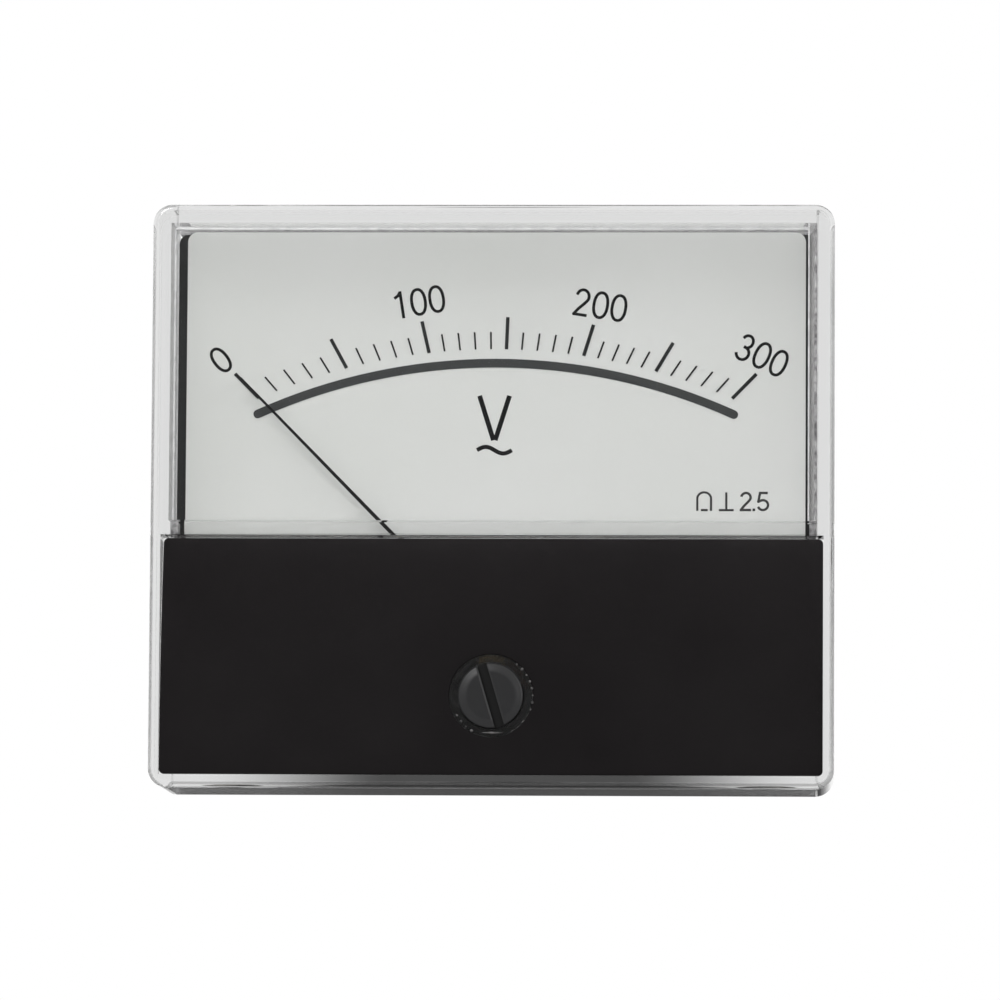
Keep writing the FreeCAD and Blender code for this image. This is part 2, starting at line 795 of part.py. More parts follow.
def make_scale_plate():
    """A flat dial with a notch below that leaves the movement free."""
    body = new_body("scale_plate")
    notch_half = DIAL_HALF - S.dial_ear
    slab(body, DIAL_FRONT, S.dial_back, lambda sketch: draw_rounded(
        sketch, -DIAL_HALF, DIAL_HALF, DIAL_BOTTOM, DIAL_TOP, S.dial_corner))
    notch_foot = DIAL_BOTTOM - S.notch_corner * 2
    recess(body, DIAL_FRONT, S.dial_back, lambda sketch: draw_rounded(
        sketch, -notch_half, notch_half, notch_foot, S.axis_height + S.notch_rise,
        S.notch_corner))

    def draw_holes(sketch):
        for sign in (-1, 1):
            draw_circle(sketch, DIAL_SCREW_X * sign, DIAL_SCREW_Z,
                        S.dial_screw_radius + S.screw_gap)

    recess(body, DIAL_FRONT, S.dial_back, draw_holes)


def scale_angle(mark):
    """The pointer's angle at a mark, read between the calibrated steps."""
    step = min(mark // MARKS_PER_STEP, len(SCALE_ANGLES) - 2)
    share = mark / MARKS_PER_STEP - step
    return SCALE_ANGLES[step] * (1 - share) + SCALE_ANGLES[step + 1] * share


def reach_to_arc(angle, radius, centre_z, pivot_z):
    """How far from the pointer's axis a ray at this angle crosses a circle of the scale."""
    drop = pivot_z - centre_z
    along = drop * math.cos(angle)
    return -along + math.sqrt(along * along - drop * drop + radius * radius)


def make_scale_print():
    """The printed arc, with round ends, and the marks, all lying on the dial."""
    centre_z = S.arc_height.value - S.arc_radius.value
    pivot_z = S.axis_height.value
    front = DIAL_FRONT.value - S.print_thickness.value
    backwards = Vector(0, S.print_thickness.value, 0)

    def at(angle, radius, middle):
        return Vector(radius * math.sin(angle), front, middle + radius * math.cos(angle))

    half_stroke = S.arc_stroke.value / 2
    end_angle = math.asin(S.arc_half_width.value / S.arc_radius.value)
    outer, inner = S.arc_radius.value + half_stroke, S.arc_radius.value - half_stroke

    def arc_edge(radius, first, last):
        points = (at(first, radius, centre_z), at((first + last) / 2, radius, centre_z),
                  at(last, radius, centre_z))
        return Part.Arc(*points).toShape()

    def cap_edge(angle, side):
        tip = at(angle + side * half_stroke / S.arc_radius.value, S.arc_radius.value, centre_z)
        return Part.Arc(at(angle, outer, centre_z), tip, at(angle, inner, centre_z)).toShape()

    edges = [
        arc_edge(outer, -end_angle, end_angle), cap_edge(end_angle, 1),
        arc_edge(inner, end_angle, -end_angle), cap_edge(-end_angle, -1),
    ]
    wire = Part.Wire(Part.__sortEdges__(edges))
    solids = [Part.Face(wire).extrude(backwards)]

    for mark in range(MARKS_PER_STEP * (len(SCALE_ANGLES) - 1) + 1):
        angle = math.radians(scale_angle(mark))
        major = mark % MARKS_PER_STEP == 0
        stroke = S.major_mark_stroke.value if major else S.minor_mark_stroke.value
        end = S.major_mark_end.value if major else S.minor_mark_end.value
        near = reach_to_arc(angle, S.arc_radius.value + S.mark_start.value, centre_z, pivot_z)
        far = reach_to_arc(angle, S.arc_radius.value + end, centre_z, pivot_z)
        aside = Vector(math.cos(angle), 0, -math.sin(angle)) * (stroke / 2)
        low, high = at(angle, near, pivot_z), at(angle, far, pivot_z)
        outline = [low - aside, low + aside, high + aside, high - aside, low - aside]
        solids.append(Part.Face(Part.makePolygon(outline)).extrude(backwards))
    feature = doc.addObject("Part::Feature", "scale_print")
    feature.Shape = Part.makeCompound(solids)
    keep(feature, "scale_print")


def make_base_case():
    """The flange that closes the cover, and the round barrel behind the panel."""
    body = new_body("base_case")
    half_x, half_z = INSIDE_X - S.case_gap, INSIDE_Z - S.case_gap
    screw_x = COVER_SCREW_X
    stud_x, stud_z = STUD_X, STUD_Z
    dial_x = DIAL_SCREW_X

    def draw_cover_screws(sketch, radius):
        for sign in (-1, 1):
            draw_circle(sketch, screw_x * sign, COVER_SCREW_Z, radius)

    def draw_studs(sketch, radius):
        for side, level in STUD_SIDES:
            draw_circle(sketch, stud_x * side, stud_z * level, radius)

    def draw_dial_posts(sketch, radius):
        for sign in (-1, 1):
            draw_circle(sketch, dial_x * sign, DIAL_SCREW_Z, radius)

    def draw_movement_posts(sketch, radius):
        for sign in (-1, 1):
            draw_circle(sketch, PILLAR_X * sign, S.axis_height, radius)

    def draw_terminals(sketch, radius):
        for sign in (-1, 1):
            draw_circle(sketch, TERMINAL_X * sign, S.terminal_height, radius)

    slab(body, FLANGE_FRONT, PANEL, lambda sketch: draw_rounded(
        sketch, -half_x, half_x, -half_z, half_z, S.case_corner))
    slab(body, S.dial_back, FLANGE_FRONT, lambda sketch: draw_studs(sketch, S.stud_boss))
    slab(body, S.dial_back, FLANGE_FRONT, lambda sketch: draw_dial_posts(sketch, S.dial_post))
    slab(body, S.cover_boss_rear, FLANGE_FRONT, lambda sketch: draw_cover_screws(
        sketch, S.cover_boss))
    barrel = slab(body, PANEL, BARREL_BACK, lambda sketch: draw_circle(
        sketch, AXIS, AXIS, S.barrel_radius))
    chamfer_edges(body, barrel, S.barrel_chamfer, lambda edge: lies_at(edge, BARREL_BACK))
    recess(body, FLANGE_FRONT, REAR_WALL, lambda sketch: draw_circle(
        sketch, AXIS, AXIS, BARREL_INSIDE))
    slab(body, REAR_BRIDGE_BACK, REAR_WALL, lambda sketch: draw_movement_posts(
        sketch, S.post_radius))
    slab(body, BARREL_BACK, TERMINAL_SEAT, lambda sketch: draw_terminals(
        sketch, S.terminal_boss))

    stud_start = S.dial_back + S.stud_cover
    recess(body, stud_start, PANEL, lambda sketch: draw_studs(sketch, S.stud_shank))
    recess(body, stud_start, stud_start + S.stud_head_thickness, lambda sketch: draw_studs(
        sketch, S.stud_head))
    recess(body, S.dial_back, DIAL_FRONT + S.dial_screw_length, lambda sketch: draw_dial_posts(
        sketch, S.dial_screw_radius))
    recess(body, S.cover_boss_rear, S.cover_screw_end, lambda sketch: draw_cover_screws(
        sketch, S.cover_screw_radius))
    recess(body, REAR_BRIDGE_BACK, REAR_BRIDGE_BACK + S.pillar_tenon,
           lambda sketch: draw_movement_posts(sketch, S.movement_screw))
    recess(body, REAR_WALL, TERMINAL_SEAT, lambda sketch: draw_terminals(
        sketch, S.terminal_radius))


def make_slotted_screw(label, x, z, front, head, head_thickness, shank, end, slot_width):
    """A cheese-headed screw with a level slot, its thread left as a plain shank."""
    seat = front + head_thickness
    body = turned(label, [
        (AXIS, front), (head, front), (head, seat), (shank, seat), (shank, end), (AXIS, end),
    ], x, z)
    chamfer_edges(body, body.Tip, S.screw_edge, lambda edge: lies_at(edge, front))
    half, reach = slot_width / 2, head + S.screw_gap
    recess(body, front, front + S.screw_slot_depth, lambda sketch: draw_rectangle(
        sketch, -reach, reach, -half, half))
    return body


def make_front_screws():
    for side, sign in SIDES:
        make_slotted_screw(
            f"dial_screw_{side}", DIAL_SCREW_X * sign, DIAL_SCREW_Z,
            DIAL_FRONT - S.dial_screw_head_thickness, S.dial_screw_head,
            S.dial_screw_head_thickness, S.dial_screw_radius,
            DIAL_FRONT + S.dial_screw_length, S.screw_slot)
        make_slotted_screw(
            f"cover_screw_{side}", COVER_SCREW_X * sign, COVER_SCREW_Z,
            S.cover_screw_head_front, S.cover_screw_head, S.cover_screw_head_thickness,
            S.cover_screw_radius, S.cover_screw_end, S.screw_slot)
        make_slotted_screw(
            f"bridge_screw_{side}", PILLAR_X * sign, S.axis_height,
            S.bridge_front - S.movement_screw_head_thickness, S.movement_screw_head,
            S.movement_screw_head_thickness, S.movement_screw,
            BRIDGE_BACK + S.movement_screw_length, S.screw_slot)


def make_bridge(label, y_from, y_to, eye, end_hole):
    """A flat bar with round ends and a wider eye that holds a jewel screw."""
    body = new_body(label)
    slab(body, y_from, y_to, lambda sketch: draw_obround(
        sketch, PILLAR_X, S.bridge_half_height))
    slab(body, y_from, y_to, lambda sketch: draw_circle(sketch, AXIS, AXIS, eye))

    def draw_end_holes(sketch):
        for sign in (-1, 1):
            draw_circle(sketch, PILLAR_X * sign, AXIS, end_hole)

    recess(body, y_from, y_to, draw_end_holes)
    recess(body, y_from, y_to, lambda sketch: draw_circle(sketch, AXIS, AXIS, S.jewel_shank))
    place(body, AXIS, AXIS, S.axis_height)


def make_pillars():
    """Turned pillars: a tenon in the case behind, a tapped hole for the bridge's screw in front."""
    tapped_end = BRIDGE_BACK + S.movement_screw_length
    tenon_end = REAR_BRIDGE_BACK + S.pillar_tenon
    for side, sign in SIDES:
        turned(f"movement_pillar_{side}", [
            (S.movement_screw, BRIDGE_BACK), (S.pillar_radius, BRIDGE_BACK),
            (S.pillar_radius, S.rear_bridge_front), (S.movement_screw, S.rear_bridge_front),
            (S.movement_screw, tenon_end), (AXIS, tenon_end), (AXIS, tapped_end),
            (S.movement_screw, tapped_end),
        ], PILLAR_X * sign, S.axis_height)


def make_magnet_circuit():
    """A round magnet inside a soft iron ring, joined by two level pins beside the coil's sweep."""
    pin_y = CORE_BACK - S.core_length / 2 + S.core_pin_radius
    yoke = new_body("yoke_ring")
    slab(yoke, S.core_front, CORE_BACK, lambda sketch: draw_circle(
        sketch, AXIS, AXIS, S.yoke_outer))
    slab(yoke, S.core_front, S.core_front + S.ear_thickness, lambda sketch: draw_obround(
        sketch, PILLAR_X, S.ear_radius))
    recess(yoke, S.core_front, CORE_BACK, lambda sketch: draw_circle(
        sketch, AXIS, AXIS, S.yoke_inner))

    def draw_ear_holes(sketch):
        for sign in (-1, 1):
            draw_circle(sketch, PILLAR_X * sign, AXIS, S.pillar_radius)

    recess(yoke, S.core_front, S.core_front + S.ear_thickness, draw_ear_holes)
    pin_holes = new_sketch(yoke, "YZ_Plane", -S.yoke_outer)
    draw_circle(pin_holes, pin_y, AXIS, S.core_pin_radius)
    drilling = yoke.newObject("PartDesign::Pocket", "yoke_ring_drilling")
    drilling.Profile = pin_holes
    bind(drilling, "Length", S.yoke_outer * 2)
    drilling.Reversed = True
    place(yoke, AXIS, AXIS, S.axis_height)

    pin_in = S.core_radius - S.core_pin_depth
    core = rod(AXIS, S.axis_height, S.core_front, CORE_BACK, S.core_radius)
    for sign in (-1, 1):
        start, end = (pin_in, S.core_radius * 2) if sign > 0 else (-S.core_radius * 2, -pin_in)
        core = cut(core, cross_rod(start, end, pin_y, S.axis_height, S.core_pin_radius))
    keep(core, "core_magnet")
    keep(cross_rod(-S.yoke_outer, -pin_in, pin_y, S.axis_height, S.core_pin_radius),
         "core_pin_left")
    keep(cross_rod(pin_in, S.yoke_outer, pin_y, S.axis_height, S.core_pin_radius),
         "core_pin_right")


def make_jewel_screws():
    """The two bearings of the pointer's axis, each with a blind bore for its pivot."""
    head_front = LEVER_FRONT - S.lever_gap - S.jewel_head_thickness
    head_back = head_front + S.jewel_head_thickness
    front_end = BRIDGE_BACK + S.lever_gap
    bore_front = front_end - S.jewel_bore_depth
    front = turned("front_jewel_screw", [
        (AXIS, head_front), (S.jewel_head, head_front), (S.jewel_head, head_back),
        (S.jewel_shank, head_back), (S.jewel_shank, front_end), (S.jewel_bore, front_end),
        (S.jewel_bore, bore_front), (AXIS, bore_front),
    ], AXIS, S.axis_height)
    half = S.screw_slot / 2
    recess(front, head_front, head_front + S.jewel_slot_depth,
           lambda sketch: draw_rectangle(sketch, -S.jewel_head, S.jewel_head, -half, half))

    rear_start = S.rear_bridge_front - S.lever_gap * 2
    bore_back = rear_start + S.jewel_bore_depth
    rear_end = REAR_BRIDGE_BACK + S.jewel_tail
    rear = turned("rear_jewel_screw", [
        (S.jewel_bore, rear_start), (S.jewel_shank, rear_start), (S.jewel_shank, rear_end),
        (AXIS, rear_end), (AXIS, bore_back), (S.jewel_bore, bore_back),
    ], AXIS, S.axis_height)
    recess(rear, rear_end - S.jewel_slot_depth, rear_end,
           lambda sketch: draw_rectangle(sketch, -S.jewel_shank, S.jewel_shank, -half, half))
    return bore_front, bore_back


def ride_the_axis(thing):
    """Puts a piece drawn about the pointer's axis where the pointer rests."""
    thing.Placement = Placement(Vector(), Rotation(Vector(0, 1, 0), S.rest_angle.value))
    place(thing, AXIS, AXIS, S.axis_height)


def coil_loop(label, inner_x, inner_front, inner_back, thickness, half_width):
    """A closed rectangular loop standing in the plane of the pointer and the axis."""
    body = new_body(label)
    across(body, half_width, lambda sketch: draw_rounded(
        sketch, inner_front - thickness, inner_back + thickness,
        -(inner_x + thickness), inner_x + thickness, thickness))
    across(body, half_width, lambda sketch: draw_rectangle(
        sketch, inner_front, inner_back, -inner_x, inner_x), cutting=True)
    ride_the_axis(body)
    return body


def make_moving_coil(bore_front, bore_back):
    """The coil on its former, the bushes and pivots, and what the pointer is balanced with."""
    former_front = S.core_front - S.coil_end_gap
    former_back = CORE_BACK + S.coil_end_gap
    coil_loop("coil_former", S.coil_inner, former_front, former_back,
              S.former_thickness, S.coil_width / 2 + S.former_lip)
    coil_loop("coil_winding", S.coil_inner + S.former_thickness,
              former_front - S.former_thickness, former_back + S.former_thickness,
              S.winding_thickness, S.coil_width / 2)

    spigot_front = BUSH_FRONT - S.spigot_height
    pivot_root = WINDING_FRONT - S.bush_height / 2
    pivot_front = bore_front + S.pivot_gap
    ride_the_axis(turned("front_bush", [
        (S.pivot_radius, spigot_front), (S.spigot_radius, spigot_front),
        (S.spigot_radius, BUSH_FRONT), (S.bush_radius, BUSH_FRONT),
        (S.bush_radius, WINDING_FRONT), (AXIS, WINDING_FRONT), (AXIS, pivot_root),
        (S.pivot_radius, pivot_root),
    ]))
    ride_the_axis(turned("front_pivot", [
        (AXIS, pivot_front), (S.pivot_radius, pivot_front + S.pivot_tip * 2),
        (S.pivot_radius, pivot_root), (AXIS, pivot_root),
    ]))
    rear_spigot = REAR_SPRING_FRONT + S.spring_height
    rear_root = WINDING_BACK + S.bush_height / 2
    pivot_back = bore_back - S.pivot_gap
    ride_the_axis(turned("rear_bush", [
        (AXIS, WINDING_BACK), (S.bush_radius, WINDING_BACK), (S.bush_radius, REAR_SPRING_FRONT),
        (S.spigot_radius, REAR_SPRING_FRONT), (S.spigot_radius, rear_spigot),
        (S.pivot_radius, rear_spigot), (S.pivot_radius, rear_root), (AXIS, rear_root),
    ]))
    ride_the_axis(turned("rear_pivot", [
        (AXIS, rear_root), (S.pivot_radius, rear_root),
        (S.pivot_radius, pivot_back - S.pivot_tip * 2), (AXIS, pivot_back),
    ]))


def make_balance():
    """A three-armed cross with a small weight on each arm."""
    cross = new_body("balance_cross")
    half = S.cross_arm_width / 2
    slab(cross, CROSS_FRONT, BUSH_FRONT, lambda sketch: draw_circle(
        sketch, AXIS, AXIS, S.cross_ring))
    slab(cross, CROSS_FRONT, BUSH_FRONT, lambda sketch: draw_rectangle(
        sketch, -S.side_arm_length, S.side_arm_length, -half, half))
    slab(cross, CROSS_FRONT, BUSH_FRONT, lambda sketch: draw_rectangle(
        sketch, -half, half, -S.tail_length, AXIS))
    recess(cross, CROSS_FRONT, BUSH_FRONT, lambda sketch: draw_circle(
        sketch, AXIS, AXIS, S.spigot_radius))
    ride_the_axis(cross)

    middle = CROSS_FRONT + S.cross_thickness / 2
    arms = (
        ("tail_weight", -90, S.tail_length, S.tail_weight_length, S.tail_weight_radius),
        ("side_weight_left", 180, S.side_arm_length, S.side_weight_length, S.side_weight_radius),
        ("side_weight_right", 0, S.side_arm_length, S.side_weight_length, S.side_weight_radius),
    )
    for label, turn, arm_length, weight_length, radius in arms:
        start = arm_length - weight_length
        ring = cross_rod(start, arm_length, middle, AXIS, radius)
        arm = block(start, arm_length, CROSS_FRONT, BUSH_FRONT, -half, half)
        weight = cut(ring, arm)
        angle = S.rest_angle.value - turn
        weight.Placement = Placement(Vector(), Rotation(Vector(0, 1, 0), angle))
        place(weight, AXIS, AXIS, S.axis_height)
        keep(weight, label)


def make_pointer():
    """The needle: a tapering strip that starts from a ring on the bush."""
    body = new_body("pointer")
    tip, foot = S.pointer_tip_width / 2, S.pointer_root_width / 2
    slab(body, POINTER_FRONT, CROSS_FRONT, lambda sketch: draw_circle(
        sketch, AXIS, AXIS, S.cross_ring))
    slab(body, POINTER_FRONT, CROSS_FRONT, lambda sketch: draw_loop(sketch, [
        (-foot, AXIS), (foot, AXIS), (tip, S.pointer_length - tip), (AXIS, S.pointer_length),
        (-tip, S.pointer_length - tip),
    ]))
    recess(body, POINTER_FRONT, CROSS_FRONT, lambda sketch: draw_circle(
        sketch, AXIS, AXIS, S.spigot_radius))
    ride_the_axis(body)


def make_hairspring(label, y_from, y_to, sense):
    """A flat spiral strip of half circles, its outer end straight up where a tag holds it."""
    inner, outer = S.spring_collet.value, S.spring_outer.value
    half_strip = S.spring_strip.value / 2
    count = int(round(S.spring_turns.value * 2))
    reaches = [outer + (inner - outer) * step / count for step in range(count + 1)]

    def strip_edge(shift):
        """One edge of the strip, with the points where it starts and ends."""
        edges, ends = [], []
        for step, (reach, next_reach) in enumerate(zip(reaches, reaches[1:])):
            side = 1 if step % 2 == 0 else -1
            centre_z = side * (reach - next_reach) / 2
            radius = (reach + next_reach) / 2 + shift
            start = Vector(0, y_from.value, centre_z + side * radius)
            middle = Vector(sense * side * radius, y_from.value, centre_z)
            end = Vector(0, y_from.value, centre_z - side * radius)
            edges.append(Part.Arc(start, middle, end).toShape())
            ends += [start, end]
        return edges, ends[0], ends[-1]

    outside, outside_start, outside_end = strip_edge(half_strip)
    inside, inside_start, inside_end = strip_edge(-half_strip)
    ends = [Part.makeLine(outside_start, inside_start), Part.makeLine(outside_end, inside_end)]
    wire = Part.Wire(Part.__sortEdges__(outside + inside + ends))
    depth = (y_to - y_from).value
    strip = Part.Face(wire).extrude(Vector(0, depth, 0))
    base, along = Vector(0, y_from.value, 0), Vector(0, 1, 0)
    collet = Part.makeCylinder(inner, depth, base, along)
    bore = Part.makeCylinder(S.spigot_radius.value, depth, base, along)
    feature = doc.addObject("Part::Feature", label)
    feature.Shape = strip.fuse(collet).cut(bore).removeSplitter()
    place(feature, AXIS, AXIS, S.axis_height)
    keep(feature, label)


def make_springs():
    make_hairspring("front_hairspring", BRIDGE_BACK + S.pivot_gap, FRONT_SPRING_BACK, 1)
    make_hairspring("rear_hairspring", REAR_SPRING_FRONT,
                    REAR_SPRING_FRONT + S.spring_height, -1)
    body = new_body("rear_spring_tag")
    half = S.lever_tag_width / 2
    tag_front = S.rear_bridge_front - S.tag_thickness
    low, high = S.lever_tag_reach - S.tag_thickness, S.lever_tag_reach
    slab(body, tag_front, S.rear_bridge_front, lambda sketch: draw_circle(
        sketch, AXIS, AXIS, S.lever_ring))
    slab(body, tag_front, S.rear_bridge_front, lambda sketch: draw_rectangle(
        sketch, -half, half, AXIS, high))
    slab(body, REAR_SPRING_FRONT, tag_front, lambda sketch: draw_rectangle(
        sketch, -half, half, low, high))
    recess(body, tag_front, S.rear_bridge_front, lambda sketch: draw_circle(
        sketch, AXIS, AXIS, S.jewel_shank))
    place(body, AXIS, AXIS, S.axis_height)


def make_mounting_studs():
    """Four threaded studs moulded into the case, each with a washer and a nut near its end."""
    start = S.dial_back + S.stud_cover
    head_back = start + S.stud_head_thickness
    nut_front = S.stud_washer_front + S.stud_washer_thickness
    nut_back = nut_front + S.stud_nut_thickness
    for number, (side, level) in enumerate(STUD_SIDES, start=1):
        x, z = STUD_X * side, STUD_Z * level
        stud = turned(f"mounting_stud_{number}", [
            (AXIS, start), (S.stud_head, start), (S.stud_head, head_back),
            (S.stud_shank, head_back), (S.stud_shank, PANEL),
            (S.stud_radius, PANEL), (S.stud_radius, S.stud_washer_front),
            (S.stud_thread_root, S.stud_washer_front), (S.stud_thread_root, nut_back),
            (S.stud_radius, nut_back), (S.stud_radius, S.stud_end), (AXIS, S.stud_end),
        ], x, z)
        chamfer_edges(stud, stud.Tip, S.nut_chamfer, lambda edge: lies_at(edge, S.stud_end))
        washer(f"stud_washer_{number}", x, z, S.stud_washer_front, S.stud_washer_thickness,
               S.stud_washer_radius, S.stud_radius + S.screw_gap)
        hex_nut(f"stud_nut_{number}", x, z, nut_front, S.stud_nut_thickness,
                S.stud_nut_flats, S.stud_thread_root)


def make_terminals():
    """Two threaded terminals through the rear wall, soldered to the board inside."""
    nut_back = TERMINAL_SEAT + S.terminal_nut_thickness
    washer_back = nut_back + S.terminal_washer_thickness
    tenon_start = BOARD_FRONT - S.terminal_tenon_end
    for side, sign in SIDES:
        x, z = TERMINAL_X * sign, S.terminal_height
        stud = turned(f"terminal_stud_{side}", [
            (AXIS, tenon_start), (S.terminal_tenon, tenon_start), (S.terminal_tenon, BOARD_BACK),
            (S.terminal_shoulder, BOARD_BACK), (S.terminal_shoulder, TERMINAL_HEAD_FRONT),
            (S.terminal_head, TERMINAL_HEAD_FRONT), (S.terminal_head, REAR_WALL),
            (S.terminal_radius, REAR_WALL), (S.terminal_radius, TERMINAL_SEAT),
            (S.terminal_thread_root, TERMINAL_SEAT), (S.terminal_thread_root, washer_back),
            (S.terminal_radius, washer_back), (S.terminal_radius, S.terminal_end),
            (AXIS, S.terminal_end),
        ], x, z)
        chamfer_edges(stud, stud.Tip, S.nut_chamfer, lambda edge: lies_at(edge, S.terminal_end))
        hex_nut(f"terminal_nut_{side}", x, z, TERMINAL_SEAT, S.terminal_nut_thickness,
                S.terminal_nut_flats, S.terminal_thread_root)
        washer(f"terminal_washer_{side}", x, z, nut_back, S.terminal_washer_thickness,
               S.terminal_washer_radius, S.terminal_radius + S.screw_gap)


def make_circuit():
    """The board on the terminals, with the rectifier and the series resistor in front of it."""
    board = new_body("circuit_board")
    half_width = S.board_width / 2
    foot_x = S.resistor_pitch / 2
    slab(board, BOARD_FRONT, BOARD_BACK, lambda sketch: draw_rounded(
        sketch, -half_width, half_width, S.board_bottom, S.board_top, S.dial_corner))

    def draw_tenon_holes(sketch):
        for sign in (-1, 1):
            draw_circle(sketch, TERMINAL_X * sign, S.terminal_height, S.terminal_tenon)

    recess(board, BOARD_FRONT, BOARD_BACK, draw_tenon_holes)

    rectifier_front = BOARD_FRONT - S.rectifier_depth
    rectifier = new_body("rectifier")
    left = S.rectifier_place - S.rectifier_width / 2
    bottom = S.terminal_height - S.rectifier_height / 2
    case = slab(rectifier, rectifier_front, BOARD_FRONT, lambda sketch: draw_rectangle(
        sketch, left, left + S.rectifier_width, bottom, bottom + S.rectifier_height))
    chamfer_edges(rectifier, case, S.rectifier_bevel,
                  lambda edge: lies_at(edge, rectifier_front))

    centre_x, centre_z = S.resistor_place, S.terminal_height
    middle = BOARD_FRONT - S.resistor_radius - S.screw_gap
    half_length = S.resistor_length / 2
    cap = S.resistor_cap
    wire_left, wire_right = centre_x - foot_x, centre_x + foot_x
    pieces = [
        cross_rod(centre_x - half_length, centre_x + half_length, middle, centre_z,
                  S.resistor_waist),
        cross_rod(centre_x - half_length, centre_x - half_length + cap, middle, centre_z,
                  S.resistor_radius),
        cross_rod(centre_x + half_length - cap, centre_x + half_length, middle, centre_z,
                  S.resistor_radius),
        cross_rod(wire_left, wire_right, middle, centre_z, S.resistor_wire),
        rod(wire_left, centre_z, middle, BOARD_FRONT, S.resistor_wire),
        rod(wire_right, centre_z, middle, BOARD_FRONT, S.resistor_wire),
    ]
    keep(fuse(*pieces), "series_resistor")


def make_lead(label, corners):
    """An insulated wire with round bends, laid along corners that it never quite reaches."""
    bend = S.lead_bend.value
    edges = []
    start = corners[0]
    for corner, after in zip(corners[1:-1], corners[2:]):
        arriving = (corner - start).normalize()
        leaving = (after - corner).normalize()
        enter = corner - arriving * bend
        leave = corner + leaving * bend
        centre = enter + leaving * bend
        middle = centre + (corner - centre).normalize() * bend
        edges.append(Part.makeLine(start, enter))
        edges.append(Part.Arc(enter, middle, leave).toShape())
        start = leave
    edges.append(Part.makeLine(start, corners[-1]))
    path = Part.Wire(edges)
    first = (corners[1] - corners[0]).normalize()
    section = Part.Wire([Part.makeCircle(S.lead_radius.value, corners[0], first)])
    feature = doc.addObject("Part::Feature", label)
    feature.Shape = path.makePipeShell([section], True, True)
    keep(feature, label)


def make_leads():
    """One wire from the board to the rear bridge, which is the frame, and one to the spring tag."""
    foot = (S.board_bottom + S.lead_bend).value
    board = BOARD_FRONT.value
    bridge_middle = (S.rear_bridge_front + S.rear_bridge_thickness / 2).value
    bridge_top = (S.axis_height + S.bridge_half_height).value
    tag_middle = (S.rear_bridge_front - S.tag_thickness / 2).value
    tag_top = (S.axis_height + S.lever_tag_reach).value
    for label, x, y, top in (
        ("frame_lead", -PILLAR_X.value, bridge_middle, bridge_top),
        ("spring_lead", 0.0, tag_middle, tag_top),
    ):
        make_lead(label, [Vector(x, board, foot), Vector(x, y, foot), Vector(x, y, top)])


make_front_cover()
make_black_mask()
make_zero_screw()
make_zero_lever()
make_scale_plate()
make_scale_print()
make_base_case()
make_front_screws()
make_bridge("front_bridge", S.bridge_front, BRIDGE_BACK, S.bridge_eye, S.movement_screw)
make_bridge("rear_bridge", S.rear_bridge_front, REAR_BRIDGE_BACK, S.bridge_eye,
            S.movement_screw)
make_pillars()
make_magnet_circuit()
pivot_bores = make_jewel_screws()
make_moving_coil(*pivot_bores)
make_balance()
make_pointer()
make_springs()
make_mounting_studs()
make_terminals()
make_circuit()
make_leads()

doc.recompute()

for thing in doc.Objects:
    if "Invalid" in thing.State or "Error" in thing.State:
        raise RuntimeError(f"{thing.Label} failed: {thing.State}")
for node in nodes:
    if node.Shape.isNull() or not node.Shape.isValid():
        raise RuntimeError(f"{node.Label} has no valid shape")

os.makedirs("parts", exist_ok=True)
for node in nodes:
    node.Shape.exportStep(os.path.join("parts", node.Label + ".step"))
print(f"{len(nodes)} pieces written")
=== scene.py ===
# %% [markdown]
# # A moving-coil panel voltmeter
# The meter is a clear moulded cover over a white dial with a thin needle. A black mask under
# the window hides the movement, and a slotted screw in it sets the needle to zero. The solids
# come ready made, so this lesson gives them their finishes, prints the numbers on the dial and
# cuts the threads of the studs. Everything is in metres, with the dial upright, X to the right,
# Y to the rear and Z up.

# %% Load the solids
import math

import bpy
from mathutils import Matrix, Vector


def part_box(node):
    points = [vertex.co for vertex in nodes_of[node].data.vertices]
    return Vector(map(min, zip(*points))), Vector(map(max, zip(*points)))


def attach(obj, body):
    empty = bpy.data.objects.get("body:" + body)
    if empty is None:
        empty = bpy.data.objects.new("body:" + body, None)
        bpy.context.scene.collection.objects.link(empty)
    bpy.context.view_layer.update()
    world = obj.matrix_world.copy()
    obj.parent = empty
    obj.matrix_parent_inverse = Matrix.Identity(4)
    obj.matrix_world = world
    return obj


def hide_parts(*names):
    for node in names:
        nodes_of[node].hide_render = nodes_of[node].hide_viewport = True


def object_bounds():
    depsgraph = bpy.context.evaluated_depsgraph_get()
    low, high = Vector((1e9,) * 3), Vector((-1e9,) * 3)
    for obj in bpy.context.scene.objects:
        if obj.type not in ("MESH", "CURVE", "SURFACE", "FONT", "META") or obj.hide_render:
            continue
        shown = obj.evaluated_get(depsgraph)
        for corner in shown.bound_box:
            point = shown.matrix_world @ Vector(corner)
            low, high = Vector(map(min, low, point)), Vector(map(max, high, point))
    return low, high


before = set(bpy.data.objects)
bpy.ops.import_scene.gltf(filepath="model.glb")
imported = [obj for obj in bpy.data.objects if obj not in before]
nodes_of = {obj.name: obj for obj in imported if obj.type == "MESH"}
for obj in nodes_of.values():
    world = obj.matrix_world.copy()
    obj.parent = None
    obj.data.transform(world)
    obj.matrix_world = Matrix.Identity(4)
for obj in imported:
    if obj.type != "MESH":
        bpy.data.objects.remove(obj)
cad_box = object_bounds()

MM = 0.001
print("pieces:", len(nodes_of), "box:", [tuple(round(v, 4) for v in c) for c in cad_box])

# %% [markdown]
# ## Helpers for shader nodes
# A finish is a small network of nodes. Two helpers keep the cells short: one adds a node and
# sets its values, the other makes a material that already has its shader. An effect that
# several finishes share is a node group, made once, with sockets that have names.

